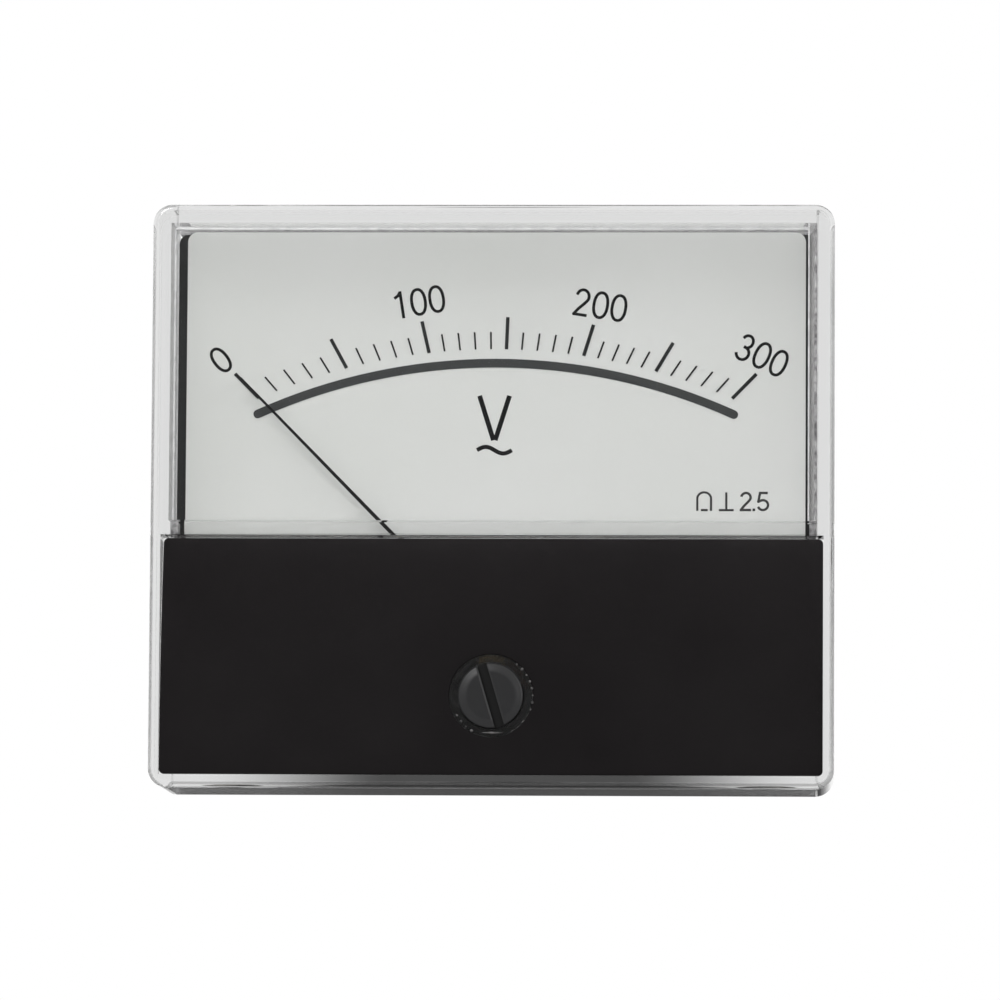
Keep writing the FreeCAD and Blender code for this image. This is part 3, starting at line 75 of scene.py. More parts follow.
# %% Node helpers
def add_node(tree, kind, inputs=None, **settings):
    """A node of this kind with its settings, and its inputs set or joined to other sockets."""
    node = tree.nodes.new("ShaderNode" + kind)
    for name, value in settings.items():
        setattr(node, name, value)
    for name, value in (inputs or {}).items():
        if isinstance(value, bpy.types.NodeSocket):
            tree.links.new(value, node.inputs[name])
        else:
            node.inputs[name].default_value = value
    return node


def new_group(name, inputs, outputs):
    """An empty node group with named sockets, and its input and output nodes."""
    group = bpy.data.node_groups.new(name, "ShaderNodeTree")
    for label, kind, value in inputs:
        socket = group.interface.new_socket(label, in_out="INPUT", socket_type=kind)
        if value is not None:
            socket.default_value = value
    for label, kind in outputs:
        group.interface.new_socket(label, in_out="OUTPUT", socket_type=kind)
    return group, group.nodes.new("NodeGroupInput"), group.nodes.new("NodeGroupOutput")


def new_material(name):
    material = bpy.data.materials.new(name)
    material.use_nodes = True
    return material, material.node_tree, material.node_tree.nodes["Principled BSDF"]


def place_group(tree, group, **inputs):
    node = tree.nodes.new("ShaderNodeGroup")
    node.node_tree = group
    for name, value in inputs.items():
        socket = node.inputs[name.replace("_", " ").capitalize()]
        if isinstance(value, bpy.types.NodeSocket):
            tree.links.new(value, socket)
        else:
            socket.default_value = value
    return node


# %% [markdown]
# ## The fine grain of a surface
# A steel mould is spark-eroded, so plastic from it has a fine even grain. Paint and plating
# have one too, only finer. One group makes it from two sizes of noise. It puts out a height for
# a Bump node and a slow cloudy value that varies the colour and the gloss a little.

# %% Grain group
def make_grain_group():
    group, given, put = new_group(
        "surface_grain",
        [("Scale", "NodeSocketFloat", 4000.0), ("Cloud scale", "NodeSocketFloat", 60.0),
         ("Sharpness", "NodeSocketFloat", 0.5)],
        [("Height", "NodeSocketFloat"), ("Cloud", "NodeSocketFloat")])
    place = add_node(group, "TexCoord").outputs["Object"]
    fine = add_node(group, "TexNoise", {
        "Vector": place, "Scale": given.outputs["Scale"], "Detail": 2.0,
        "Roughness": given.outputs["Sharpness"]})
    cloud = add_node(group, "TexNoise", {
        "Vector": place, "Scale": given.outputs["Cloud scale"], "Detail": 4.0})
    group.links.new(fine.outputs["Fac"], put.inputs["Height"])
    group.links.new(cloud.outputs["Fac"], put.inputs["Cloud"])
    return group


GRAIN = make_grain_group()
print("nodes of the grain:", len(GRAIN.nodes))


# %% [markdown]
# ## Plain finishes from one recipe
# Most pieces are one substance with a grain, so one function mixes two close colours by the
# cloud, moves the roughness between two limits and adds the bump. What differs is only the
# numbers: black moulding, brass, zinc plating, iron and so on.

# %% Finish from two colours
def grained(name, dark, light, rough, metallic=0.0, scale=4000.0, bump=0.1, depth=0.00002,
            cloud_scale=60.0, specular=0.5):
    material, tree, shader = new_material(name)
    grain = place_group(tree, GRAIN, scale=scale, cloud_scale=cloud_scale)
    colour = add_node(tree, "ValToRGB")
    tree.links.new(grain.outputs["Cloud"], colour.inputs["Fac"])
    colour.color_ramp.elements[0].position = 0.35
    colour.color_ramp.elements[0].color = (*dark, 1.0)
    colour.color_ramp.elements[1].position = 0.65
    colour.color_ramp.elements[1].color = (*light, 1.0)
    gloss = add_node(tree, "MapRange", {
        "Value": grain.outputs["Cloud"], "From Min": 0.35, "From Max": 0.65,
        "To Min": rough[0], "To Max": rough[1]})
    relief = add_node(tree, "Bump", {
        "Strength": bump, "Distance": depth, "Height": grain.outputs["Height"]})
    tree.links.new(colour.outputs["Color"], shader.inputs["Base Color"])
    tree.links.new(gloss.outputs["Result"], shader.inputs["Roughness"])
    tree.links.new(relief.outputs["Normal"], shader.inputs["Normal"])
    shader.inputs["Metallic"].default_value = metallic
    shader.inputs["Specular IOR Level"].default_value = specular
    return material


mask_black = grained("mask_black", (0.0093, 0.0081, 0.0086), (0.0145, 0.0131, 0.0136),
                     (0.6, 0.75), scale=5200.0, bump=0.35, cloud_scale=45.0, specular=0.05)
case_black = grained("case_black", (0.012, 0.012, 0.0125), (0.02, 0.02, 0.02),
                     (0.4, 0.55), scale=2200.0, bump=0.5, depth=0.00005, specular=0.3)
dial_white = grained("dial_white", (0.70, 0.715, 0.69), (0.74, 0.75, 0.735),
                     (0.5, 0.6), scale=9000.0, bump=0.05, cloud_scale=25.0)
sign_ink = grained("sign_ink", (0.036, 0.036, 0.036), (0.05, 0.05, 0.05), (0.6, 0.7),
                   scale=9000.0, bump=0.05, specular=0.05)
text_ink = grained("text_ink", (0.008, 0.008, 0.008), (0.014, 0.014, 0.014), (0.6, 0.7),
                   scale=9000.0, bump=0.05, specular=0.05)
needle_black = grained("needle_black", (0.004, 0.004, 0.004), (0.008, 0.008, 0.008),
                       (0.45, 0.6), bump=0.05, specular=0.15)
plated_steel = grained("plated_steel", (0.50, 0.50, 0.48), (0.62, 0.61, 0.58), (0.22, 0.38),
                       1.0, scale=7000.0, bump=0.12, cloud_scale=400.0)
soft_iron = grained("soft_iron", (0.36, 0.36, 0.37), (0.46, 0.46, 0.47), (0.3, 0.45), 1.0,
                    bump=0.2, cloud_scale=200.0)
magnet_grey = grained("magnet_grey", (0.2, 0.2, 0.21), (0.28, 0.28, 0.29), (0.4, 0.55), 1.0,
                      bump=0.3, cloud_scale=300.0)
turned_brass = grained("turned_brass", (0.66, 0.48, 0.21), (0.78, 0.60, 0.30), (0.16, 0.32),
                       1.0, scale=6000.0, bump=0.1, cloud_scale=500.0)
spring_bronze = grained("spring_bronze", (0.6, 0.38, 0.18), (0.7, 0.46, 0.24), (0.15, 0.25),
                        1.0, bump=0.03)
satin_aluminium = grained("satin_aluminium", (0.66, 0.66, 0.67), (0.76, 0.76, 0.77),
                          (0.28, 0.4), 1.0, bump=0.1, cloud_scale=300.0)
winding_copper = grained("winding_copper", (0.28, 0.09, 0.03), (0.42, 0.15, 0.06),
                         (0.25, 0.4), 0.6, scale=9000.0, bump=0.6)
board_green = grained("board_green", (0.02, 0.09, 0.035), (0.03, 0.12, 0.05), (0.3, 0.4),
                      bump=0.1)
rectifier_black = grained("rectifier_black", (0.01, 0.01, 0.01), (0.02, 0.02, 0.02),
                          (0.5, 0.65), bump=0.4)
resistor_blue = grained("resistor_blue", (0.12, 0.24, 0.30), (0.17, 0.32, 0.38), (0.2, 0.3),
                        bump=0.05)
wire_red = grained("wire_red", (0.28, 0.012, 0.01), (0.36, 0.02, 0.015), (0.35, 0.5),
                   bump=0.1)
print("finishes:", len(bpy.data.materials))

# %% [markdown]
# ## Clear plastic
# The cover is polished polystyrene. A Principled shader with full transmission bends the light
# as the real walls do, and that alone draws the grey lines along its edges. The plastic is a
# little grey through its depth, which shows in the rim, where light runs along the walls. The
# inner side walls and the boss round the zero screw aren't polished, so a mask by place raises
# the roughness there. The boss is also painted darker, a painted shade that hides the brass behind
# it, so that it looks as dark as the mask behind it. The foot of the cover is painted darker in
# its middle, a painted shade. Light from a lamp can't find its way through a bent surface, so for
# shadow rays the plastic is simply see-through, a little less so in the top wall, which shades the
# upper edge of the dial.

# %% Clear cover finish
cover_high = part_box("front_cover")[1]
screw_low, screw_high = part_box("zero_screw")
SCREW_X, SCREW_Z = (screw_low.x + screw_high.x) / 2, (screw_low.z + screw_high.z) / 2
BOSS_RADIUS, BOSS_DULLNESS = 4.35 * MM, 0.55
SIDE_WALL, WINDOW_REAR, HAIR = 1.8 * MM, -10.9 * MM, 0.1 * MM
# Painted shade on the foot: full within the first reach of its middle, none beyond the second.
FOOT_MIDDLE, FOOT_FULL_SHADE, FOOT_NO_SHADE = 1.5 * MM, 12.0 * MM, 33.0 * MM


def make_frosting_group():
    """Masks of the places of the cover that look different, by Object coordinates."""
    group, given, put = new_group(
        "cover_frosting",
        [("Half width", "NodeSocketFloat", cover_high.x - SIDE_WALL),
         ("Half height", "NodeSocketFloat", cover_high.z - SIDE_WALL - HAIR),
         ("Depth", "NodeSocketFloat", WINDOW_REAR), ("Boss x", "NodeSocketFloat", SCREW_X),
         ("Boss z", "NodeSocketFloat", SCREW_Z), ("Boss radius", "NodeSocketFloat", BOSS_RADIUS)],
        [("Walls", "NodeSocketFloat"), ("Boss", "NodeSocketFloat"),
         ("Top", "NodeSocketFloat"), ("Foot shade", "NodeSocketFloat")])
    place = add_node(group, "TexCoord").outputs["Object"]
    axes = add_node(group, "SeparateXYZ", {"Vector": place})
    side = add_node(group, "Math", {0: axes.outputs["X"]}, operation="ABSOLUTE")
    near_wall = add_node(group, "Math", {
        0: side.outputs["Value"], 1: given.outputs["Half width"], 2: HAIR},
        operation="COMPARE")
    behind = add_node(group, "Math", {0: axes.outputs["Y"], 1: given.outputs["Depth"]},
                      operation="GREATER_THAN")
    walls = add_node(group, "Math", {
        0: near_wall.outputs["Value"], 1: behind.outputs["Value"]}, operation="MULTIPLY")
    middle = add_node(group, "CombineXYZ", {
        "X": given.outputs["Boss x"], "Z": given.outputs["Boss z"]})
    level = add_node(group, "CombineXYZ", {
        "X": axes.outputs["X"], "Z": axes.outputs["Z"]})
    reach = add_node(group, "VectorMath", {0: level.outputs["Vector"], 1: middle.outputs["Vector"]},
                     operation="DISTANCE")
    boss = add_node(group, "Math", {
        0: reach.outputs["Value"], 1: given.outputs["Boss radius"]}, operation="LESS_THAN")
    top = add_node(group, "Math", {0: axes.outputs["Z"], 1: given.outputs["Half height"]},
                   operation="GREATER_THAN")
    drop = add_node(group, "Math", {0: axes.outputs["Z"], 1: -1.0}, operation="MULTIPLY")
    low = add_node(group, "Math", {0: drop.outputs["Value"], 1: given.outputs["Half height"]},
                   operation="GREATER_THAN")
    # The foot mask marks where the middle of the foot gets its painted shade.
    shift = add_node(group, "Math", {0: axes.outputs["X"], 1: FOOT_MIDDLE}, operation="SUBTRACT")
    off_middle = add_node(group, "Math", {0: shift.outputs["Value"]}, operation="ABSOLUTE")
    fade = add_node(group, "MapRange", {
        "Value": off_middle.outputs["Value"], "From Min": FOOT_FULL_SHADE, "From Max": FOOT_NO_SHADE,
        "To Min": 1.0, "To Max": 0.0}, interpolation_type="SMOOTHSTEP")
    foot_shade = add_node(group, "Math", {0: low.outputs["Value"], 1: fade.outputs["Result"]},
                    operation="MULTIPLY")
    for name, node in (("Walls", walls), ("Boss", boss), ("Top", top), ("Foot shade", foot_shade)):
        group.links.new(node.outputs["Value"], put.inputs[name])
    return group


def make_clear_plastic():
    material, tree, shader = new_material("clear_plastic")
    grain = place_group(tree, GRAIN, scale=2600.0, cloud_scale=900.0, sharpness=0.6)
    frosting = place_group(tree, make_frosting_group())
    unpolished = add_node(tree, "Math", {
        0: frosting.outputs["Boss"], 1: BOSS_DULLNESS, 2: frosting.outputs["Walls"]},
        operation="MULTIPLY_ADD")
    haze = add_node(tree, "MapRange", {
        "Value": unpolished.outputs["Value"], "To Min": 0.02, "To Max": 0.42})
    tree.links.new(haze.outputs["Result"], shader.inputs["Roughness"])
    # Painted shade: the boss round the zero screw is darkened to 0.3, which hides the brass behind
    # it.
    boss_shade = add_node(tree, "MapRange", {
        "Value": frosting.outputs["Boss"], "To Min": 1.0, "To Max": 0.3})
    # Painted shade: the middle of the foot is darkened to a tenth.
    shade = add_node(tree, "MapRange", {
        "Value": frosting.outputs["Foot shade"], "To Min": 1.0, "To Max": 0.1})
    mottle = add_node(tree, "MapRange", {
        "Value": grain.outputs["Cloud"], "From Min": 0.35, "From Max": 0.65,
        "To Min": 0.45, "To Max": 0.85})
    stain = add_node(tree, "Mix", {
        "Factor": frosting.outputs["Walls"], "A": 1.0, "B": mottle.outputs["Result"]})
    dark = add_node(tree, "Math", {0: boss_shade.outputs["Result"], 1: shade.outputs["Result"]},
                    operation="MULTIPLY")
    tint = add_node(tree, "Math", {0: dark.outputs["Value"], 1: stain.outputs["Result"]},
                    operation="MULTIPLY")
    colour = add_node(tree, "CombineColor", {
        "Red": tint.outputs["Value"], "Green": tint.outputs["Value"],
        "Blue": tint.outputs["Value"]})
    tree.links.new(colour.outputs["Color"], shader.inputs["Base Color"])
    depth = add_node(tree, "Math", {0: frosting.outputs["Walls"], 1: grain.outputs["Height"]},
                     operation="MULTIPLY")
    relief = add_node(tree, "Bump", {
        "Strength": 0.6, "Distance": 0.0001, "Height": depth.outputs["Value"]})
    tree.links.new(relief.outputs["Normal"], shader.inputs["Normal"])
    shader.inputs["Transmission Weight"].default_value = 1.0
    shader.inputs["IOR"].default_value = 1.5
    rays = add_node(tree, "LightPath")
    held_back = add_node(tree, "MapRange", {
        "Value": frosting.outputs["Top"], "To Min": 0.99, "To Max": 0.79})
    grey = add_node(tree, "CombineColor", {
        "Red": held_back.outputs["Result"], "Green": held_back.outputs["Result"],
        "Blue": held_back.outputs["Result"]})
    passing = add_node(tree, "BsdfTransparent", {"Color": grey.outputs["Color"]})
    choice = add_node(tree, "MixShader")
    tree.links.new(rays.outputs["Is Shadow Ray"], choice.inputs[0])
    tree.links.new(shader.outputs["BSDF"], choice.inputs[1])
    tree.links.new(passing.outputs["BSDF"], choice.inputs[2])
    output = tree.nodes["Material Output"]
    tree.links.new(choice.outputs["Shader"], output.inputs["Surface"])
    greying = add_node(tree, "VolumeAbsorption", {
        "Color": (0.5, 0.505, 0.5, 1.0), "Density": 40.0})
    tree.links.new(greying.outputs["Volume"], output.inputs["Volume"])
    return material


clear_plastic = make_clear_plastic()
print("nodes of the clear plastic:", len(clear_plastic.node_tree.nodes))

# %% [markdown]
# ## Zero screw
# The screw's head is black nylon with a slightly domed rim, which catches a soft crescent of
# light, and a slot whose edges have worn round. Both are shallow, so a height by place feeds the
# bump. The slot's floor is painted darker by its depth, a painted shade in the slot.

# %% Zero screw finish
HEAD_RADIUS, HEAD_FRONT = 3.35 * MM, screw_low.y
RIM_FALL, RIM_DROP = 1.0 * MM, 0.22 * MM
SLOT_HALF_WIDTH, SLOT_TURN = 0.5 * MM, 16.5
EDGE_WIDTH, EDGE_DROP = 0.16 * MM, 0.07 * MM
SHADE_FROM, SHADE_TO, GRAIN_DEPTH = 0.2 * MM, 0.6 * MM, 0.004 * MM


def make_screw_black():
    material, tree, shader = new_material("screw_black")
    grain = place_group(tree, GRAIN, scale=3000.0, cloud_scale=900.0)
    place = add_node(tree, "TexCoord").outputs["Object"]
    offset = add_node(tree, "VectorMath", {0: place, 1: (SCREW_X, HEAD_FRONT, SCREW_Z)},
                      operation="SUBTRACT")
    flat = add_node(tree, "VectorMath", {0: offset.outputs["Vector"], 1: (1.0, 0.0, 1.0)},
                    operation="MULTIPLY")
    reach = add_node(tree, "VectorMath", {0: flat.outputs["Vector"]}, operation="LENGTH")
    dome = add_node(tree, "MapRange", {
        "Value": reach.outputs["Value"], "From Min": HEAD_RADIUS - RIM_FALL,
        "From Max": HEAD_RADIUS, "To Min": RIM_DROP, "To Max": 0.0},
        interpolation_type="SMOOTHSTEP")
    turn = math.radians(SLOT_TURN)
    aside = add_node(tree, "VectorMath", {
        0: flat.outputs["Vector"], 1: (math.cos(turn), 0.0, math.sin(turn))},
        operation="DOT_PRODUCT")
    off_slot = add_node(tree, "Math", {0: aside.outputs["Value"]}, operation="ABSOLUTE")
    worn = add_node(tree, "MapRange", {
        "Value": off_slot.outputs["Value"], "From Min": SLOT_HALF_WIDTH,
        "From Max": SLOT_HALF_WIDTH + EDGE_WIDTH, "To Min": 0.0, "To Max": EDGE_DROP})
    depth = add_node(tree, "SeparateXYZ", {"Vector": offset.outputs["Vector"]})
    deep = add_node(tree, "MapRange", {
        "Value": depth.outputs["Y"], "From Min": SHADE_FROM, "From Max": SHADE_TO})
    form = add_node(tree, "Math", {0: dome.outputs["Result"], 1: worn.outputs["Result"]},
                    operation="ADD")
    front = add_node(tree, "Mix", {
        "Factor": deep.outputs["Result"], "A": form.outputs["Value"], "B": 0.0})
    fine = add_node(tree, "Math", {0: grain.outputs["Height"], 1: GRAIN_DEPTH,
                                   2: front.outputs["Result"]}, operation="MULTIPLY_ADD")
    relief = add_node(tree, "Bump", {"Strength": 1.0, "Distance": 1.0,
                                     "Height": fine.outputs["Value"]})
    tree.links.new(relief.outputs["Normal"], shader.inputs["Normal"])
    # Painted shade: the slot's floor is painted near black by its depth.
    shade = add_node(tree, "Math", {0: grain.outputs["Cloud"], 1: 0.2,
                                    2: deep.outputs["Result"]}, operation="MULTIPLY_ADD")
    colour = add_node(tree, "ValToRGB", {"Fac": shade.outputs["Value"]})
    colour.color_ramp.elements[0].color = (0.019, 0.019, 0.02, 1.0)
    colour.color_ramp.elements[1].position = 0.85
    colour.color_ramp.elements[1].color = (0.0015, 0.0015, 0.0015, 1.0)
    tree.links.new(colour.outputs["Color"], shader.inputs["Base Color"])
    shader.inputs["Roughness"].default_value = 0.38
    shader.inputs["Specular IOR Level"].default_value = 0.35
    return material


screw_black = make_screw_black()
print("zero screw at:", round(SCREW_X, 5), round(SCREW_Z, 5))

# %% [markdown]
# ## Printed scale
# Arc and marks are one print on the dial, but the thick arc is a thinner coat and looks greyer.
# Two finishes would need the print cut in two, so one finish finds the arc's band by the distance
# from the arc's centre.

# %% Scale ink
ARC_RADIUS, ARC_STROKE, ARC_TOP = 59.6 * MM, 0.9 * MM, 14.4 * MM


def make_print_ink():
    material, tree, shader = new_material("print_ink")
    grain = place_group(tree, GRAIN, scale=9000.0, cloud_scale=200.0)
    place = add_node(tree, "TexCoord").outputs["Object"]
    flat = add_node(tree, "VectorMath", {0: place, 1: (1.0, 0.0, 1.0)}, operation="MULTIPLY")
    reach = add_node(tree, "VectorMath", {
        0: flat.outputs["Vector"], 1: (0.0, 0.0, ARC_TOP - ARC_RADIUS)}, operation="DISTANCE")
    on_arc = add_node(tree, "Math", {
        0: reach.outputs["Value"], 1: ARC_RADIUS, 2: ARC_STROKE * 0.6}, operation="COMPARE")
    tone = add_node(tree, "Math", {0: on_arc.outputs["Value"], 1: 0.8,
                                   2: grain.outputs["Cloud"]}, operation="MULTIPLY_ADD")
    colour = add_node(tree, "ValToRGB", {"Fac": tone.outputs["Value"]})
    colour.color_ramp.elements[0].position = 0.3
    colour.color_ramp.elements[0].color = (0.014, 0.014, 0.014, 1.0)
    colour.color_ramp.elements[1].color = (0.058, 0.061, 0.061, 1.0)
    tree.links.new(colour.outputs["Color"], shader.inputs["Base Color"])
    relief = add_node(tree, "Bump", {"Strength": 0.05, "Distance": 0.02 * MM,
                                     "Height": grain.outputs["Height"]})
    tree.links.new(relief.outputs["Normal"], shader.inputs["Normal"])
    shader.inputs["Roughness"].default_value = 0.65
    shader.inputs["Specular IOR Level"].default_value = 0.05
    return material


print_ink = make_print_ink()
print("centre of the arc:", round(ARC_TOP - ARC_RADIUS, 4))

# %% [markdown]
# ## Dress the pieces
# Each piece gets one finish. The table reads as a shopping list: finish first, then the pieces
# that are made of it.

# %% Finishes to pieces
STUDS = [f"mounting_stud_{number}" for number in (1, 2, 3, 4)]
STUD_TRIM = [f"stud_{kind}_{number}" for kind in ("nut", "washer") for number in (1, 2, 3, 4)]
TERMINALS = ["terminal_stud_left", "terminal_stud_right"]
finish_of = {
    clear_plastic: ["front_cover"],
    mask_black: ["black_mask"],
    screw_black: ["zero_screw"],
    case_black: ["base_case"],
    dial_white: ["scale_plate"],
    print_ink: ["scale_print"],
    needle_black: ["pointer"],
    plated_steel: [
        "dial_screw_left", "dial_screw_right", "cover_screw_left", "cover_screw_right",
        "bridge_screw_left", "bridge_screw_right", "front_pivot", "rear_pivot", "tail_weight",
        "side_weight_left", "side_weight_right", *STUDS, *STUD_TRIM],
    soft_iron: ["yoke_ring", "core_pin_left", "core_pin_right"],
    magnet_grey: ["core_magnet"],
    turned_brass: [
        "movement_pillar_left", "movement_pillar_right", "front_jewel_screw",
        "rear_jewel_screw", "front_bush", "rear_bush", "zero_lever", "rear_spring_tag",
        "terminal_nut_left", "terminal_nut_right", "terminal_washer_left",
        "terminal_washer_right", *TERMINALS],
    spring_bronze: ["front_hairspring", "rear_hairspring"],
    satin_aluminium: ["front_bridge", "rear_bridge", "balance_cross", "coil_former"],
    winding_copper: ["coil_winding"],
    board_green: ["circuit_board"],
    rectifier_black: ["rectifier"],
    resistor_blue: ["series_resistor"],
    wire_red: ["frame_lead", "spring_lead"],
}
for material, names in finish_of.items():
    for name in names:
        slots = nodes_of[name].data.materials
        slots.clear()
        slots.append(material)
undressed = set(nodes_of) - {name for names in finish_of.values() for name in names}
print("left undressed:", sorted(undressed))


# %% [markdown]
# ## Strokes of ink
# The scale's numbers are printed with strokes of one width and round ends. A text object would
# bring its own letterforms, so each figure is drawn as a centre line, as a sign writer would:
# a curve with a round bevel, made a mesh, then pressed flat on to the dial. A bevelled curve
# grows thin where it turns sharply, so at such a corner one stroke ends and the next begins.

# %% Ink stroke helper
DIAL_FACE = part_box("scale_plate")[0].y
INK_HEIGHT = 0.03 * MM


def bow(centre_x, centre_y, radius_x, radius_y, start, end, steps=14):
    """Points along part of an oval, from one angle to another in degrees."""
    points = []
    for step in range(steps + 1):
        angle = math.radians(start + (end - start) * step / steps)
        points.append((centre_x + radius_x * math.cos(angle),
                       centre_y + radius_y * math.sin(angle)))
    return points


def split_at_corners(points, reach):
    """Runs of points without a sharp corner, each a little longer there, so that they meet."""
    runs, run = [], [points[0]]
    for before, here, after in zip(points, points[1:], points[2:]):
        run.append(here)
        way_in = Vector(here) - Vector(before)
        way_out = Vector(after) - Vector(here)
        if way_in.angle(way_out) > math.radians(40.0):
            run[-1] = tuple(Vector(here) + way_in.normalized() * reach)
            runs.append(run)
            run = [tuple(Vector(here) - way_out.normalized() * reach)]
    run.append(points[-1])
    return [*runs, run]


def ink(name, strokes, size, width, centre, turn, material=text_ink):
    """Flat strokes on the dial: outlines of points, their size in metres, centre and turn."""
    curve = bpy.data.curves.new(name, "CURVE")
    curve.dimensions = "3D"
    curve.bevel_depth = width / 2
    curve.bevel_resolution = 2
    curve.use_fill_caps = True
    runs = []
    for points, closed in strokes:
        pieces = [points] if closed else split_at_corners(points, 0.4 * width / size)
        runs += [(piece, closed) for piece in pieces]
    for points, closed in runs:
        spline = curve.splines.new("POLY")
        spline.points.add(len(points) - 1)
        for point, (x, y) in zip(spline.points, points):
            point.co = (x * size, 0.0, y * size, 1.0)
        spline.use_cyclic_u = closed
    drawing = bpy.data.objects.new(name, curve)
    bpy.context.scene.collection.objects.link(drawing)
    bpy.ops.object.select_all(action="DESELECT")
    drawing.select_set(True)
    bpy.context.view_layer.objects.active = drawing
    bpy.ops.object.convert(target="MESH")
    flatten = Matrix.Diagonal((1.0, INK_HEIGHT / width, 1.0, 1.0))
    turning = Matrix.Rotation(math.radians(turn), 4, "Y")
    move = Matrix.Translation((centre[0], DIAL_FACE, centre[1]))
    drawing.data.transform(move @ turning @ flatten)
    drawing.data.materials.append(material)
    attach(drawing, "case")
    return drawing


# %% [markdown]
# ## The figures
# Each figure fits a cell one unit high and about half a unit wide. The zero is a slim oval, the
# two and the three are bows joined by straight runs. A word of figures sets them side by side,
# centred, so it can turn as a whole.

# %% Figures
FIGURE_PITCH = 0.655


def oval():
    points = []
    for step in range(28):
        angle = 2 * math.pi * step / 28
        side, up = math.cos(angle), math.sin(angle)
        points.append((0.25 + math.copysign(abs(side) ** 0.9, side) * 0.243,
                       0.5 + math.copysign(abs(up) ** 0.9, up) * 0.45))
    return points


FIGURES = {
    "0": [(oval(), True)],
    "1": [([(0.3, 0.0), (0.3, 0.98)], False),
          ([(0.3, 0.95), (0.21, 0.83), (0.07, 0.75)], False)],
    "2": [(bow(0.235, 0.71, 0.215, 0.24, 172, -28)
           + [(0.32, 0.46), (0.14, 0.26), (0.0, 0.05), (0.47, 0.05)], False)],
    "3": [(bow(0.235, 0.725, 0.195, 0.225, 165, -80) + [(0.18, 0.51)], False),
          ([(0.18, 0.52)] + bow(0.235, 0.28, 0.225, 0.235, 80, -165), False)],
    "5": [([(0.43, 0.95), (0.12, 0.95), (0.05, 0.49)]
           + bow(0.235, 0.31, 0.21, 0.26, 125, -160), False)],
}


def word(text):
    """The strokes of a row of figures, centred on its own middle."""
    strokes = []
    width = FIGURE_PITCH * (len(text) - 1) + 0.5
    for place, figure in enumerate(text):
        shift = place * FIGURE_PITCH - width / 2
        for points, closed in FIGURES[figure]:
            strokes.append(([(x + shift, y - 0.5) for x, y in points], closed))
    return strokes


print("figures:", " ".join(FIGURES))

# %% [markdown]
# ## Numbers on the scale
# The four numbers stand outside the scale, each leaning with its mark. Their places are read
# from the object in millimetres to the right of the middle and above the case's axis.

# %% Scale numbers
FIGURE_HEIGHT = 2.9 * MM
FIGURE_STROKE = 0.315 * MM
SCALE_NUMBERS = (
    ("0", (-28.48, 14.71), -38.0),
    ("100", (-8.04, 20.77), -9.0),
    ("200", (10.82, 20.44), 9.0),
    ("300", (27.51, 15.23), 25.0),
)
for text, (x, z), turn in SCALE_NUMBERS:
    number = ink("scale_number_" + text, word(text), FIGURE_HEIGHT, FIGURE_STROKE,
                 (x * MM, z * MM), turn)
    print(number.name, "faces:", len(number.data.polygons))

# %% [markdown]
# ## Unit and small signs
# The large V stands for volts and the wave under it for alternating current. At the lower right
# stand the usual signs of a meter: a horseshoe for the moving coil, an upright on a line for
# the position in use, and the accuracy class.

# %% Unit and signs
UNIT_HEIGHT, UNIT_STROKE, UNIT_PLACE = 4.62 * MM, 0.5 * MM, (-0.1 * MM, 8.7 * MM)
WAVE_HALF, WAVE_RISE, WAVE_STROKE = 1.8, 0.34, 0.44 * MM
WAVE_PLACE, WAVE_STEPS = (-0.08 * MM, 5.36 * MM), 24
SIGN_HEIGHT, SIGN_STROKE, CLASS_STROKE, POINT_STROKE = 1.96 * MM, 0.235 * MM, 0.26 * MM, 0.28 * MM
SIGN_Z = 0.09 * MM
ink("unit_volts", [([(-0.335, 0.5), (-0.02, -0.5)], False), ([(0.335, 0.5), (0.02, -0.5)], False)],
    UNIT_HEIGHT, UNIT_STROKE, UNIT_PLACE, 0.0)
wave = []
for step in range(WAVE_STEPS + 1):
    share = step / WAVE_STEPS
    wave.append((WAVE_HALF * (2 * share - 1), WAVE_RISE * math.sin(2 * math.pi * share)))
ink("unit_alternating", [(wave, False)], MM, WAVE_STROKE, WAVE_PLACE, 0.0)


def sign(name, strokes, x, stroke=SIGN_STROKE):
    return ink(name, strokes, SIGN_HEIGHT, stroke, (x * MM, SIGN_Z), 0.0, sign_ink)


def wider(strokes, share):
    """The small figures are broader than those of the scale by this share."""
    return [([(x * share, y) for x, y in points], closed) for points, closed in strokes]


arch = [(-0.36, -0.5), (-0.36, 0.2)] + bow(0.0, 0.15, 0.36, 0.33, 160, 20, 8) \
    + [(0.36, 0.2), (0.36, -0.5)]
sign("sign_moving_coil", [(arch, False), ([(-0.17, -0.46), (0.19, -0.46)], False)], 21.58)
sign("sign_upright", [([(0.0, -0.46), (0.0, 0.48)], False),
                      ([(-0.39, -0.46), (0.39, -0.46)], False)], 23.86)
sign("sign_class_units", wider(word("2"), 1.13), 25.92, CLASS_STROKE)
sign("sign_class_point", [([(0.0, -0.51), (0.0, -0.37)], False)], 26.7, POINT_STROKE)
sign("sign_class_tenths", wider(word("5"), 1.3), 27.67, CLASS_STROKE)

# %% [markdown]
# ## Tools for new pieces
# An operator acts on all that is selected, so each new piece is first selected alone. At the end
# a piece is settled: its place goes into its mesh, its object sits at the origin, and it gets its
# finish and the body that it moves with. A slim bar is the start of several small pieces: a cube
# at its size and place, with one edge moved in edit mode where a wall leans, and rounded edges
# that catch a line of light.

# %% Tools for a new piece
def pick(piece):
    """Selects one piece alone and makes it active."""
    bpy.ops.object.select_all(action="DESELECT")
    piece.select_set(True)
    bpy.context.view_layer.objects.active = piece


def apply_modifiers(piece):
    pick(piece)
    for modifier in list(piece.modifiers):
        bpy.ops.object.modifier_apply(modifier=modifier.name)


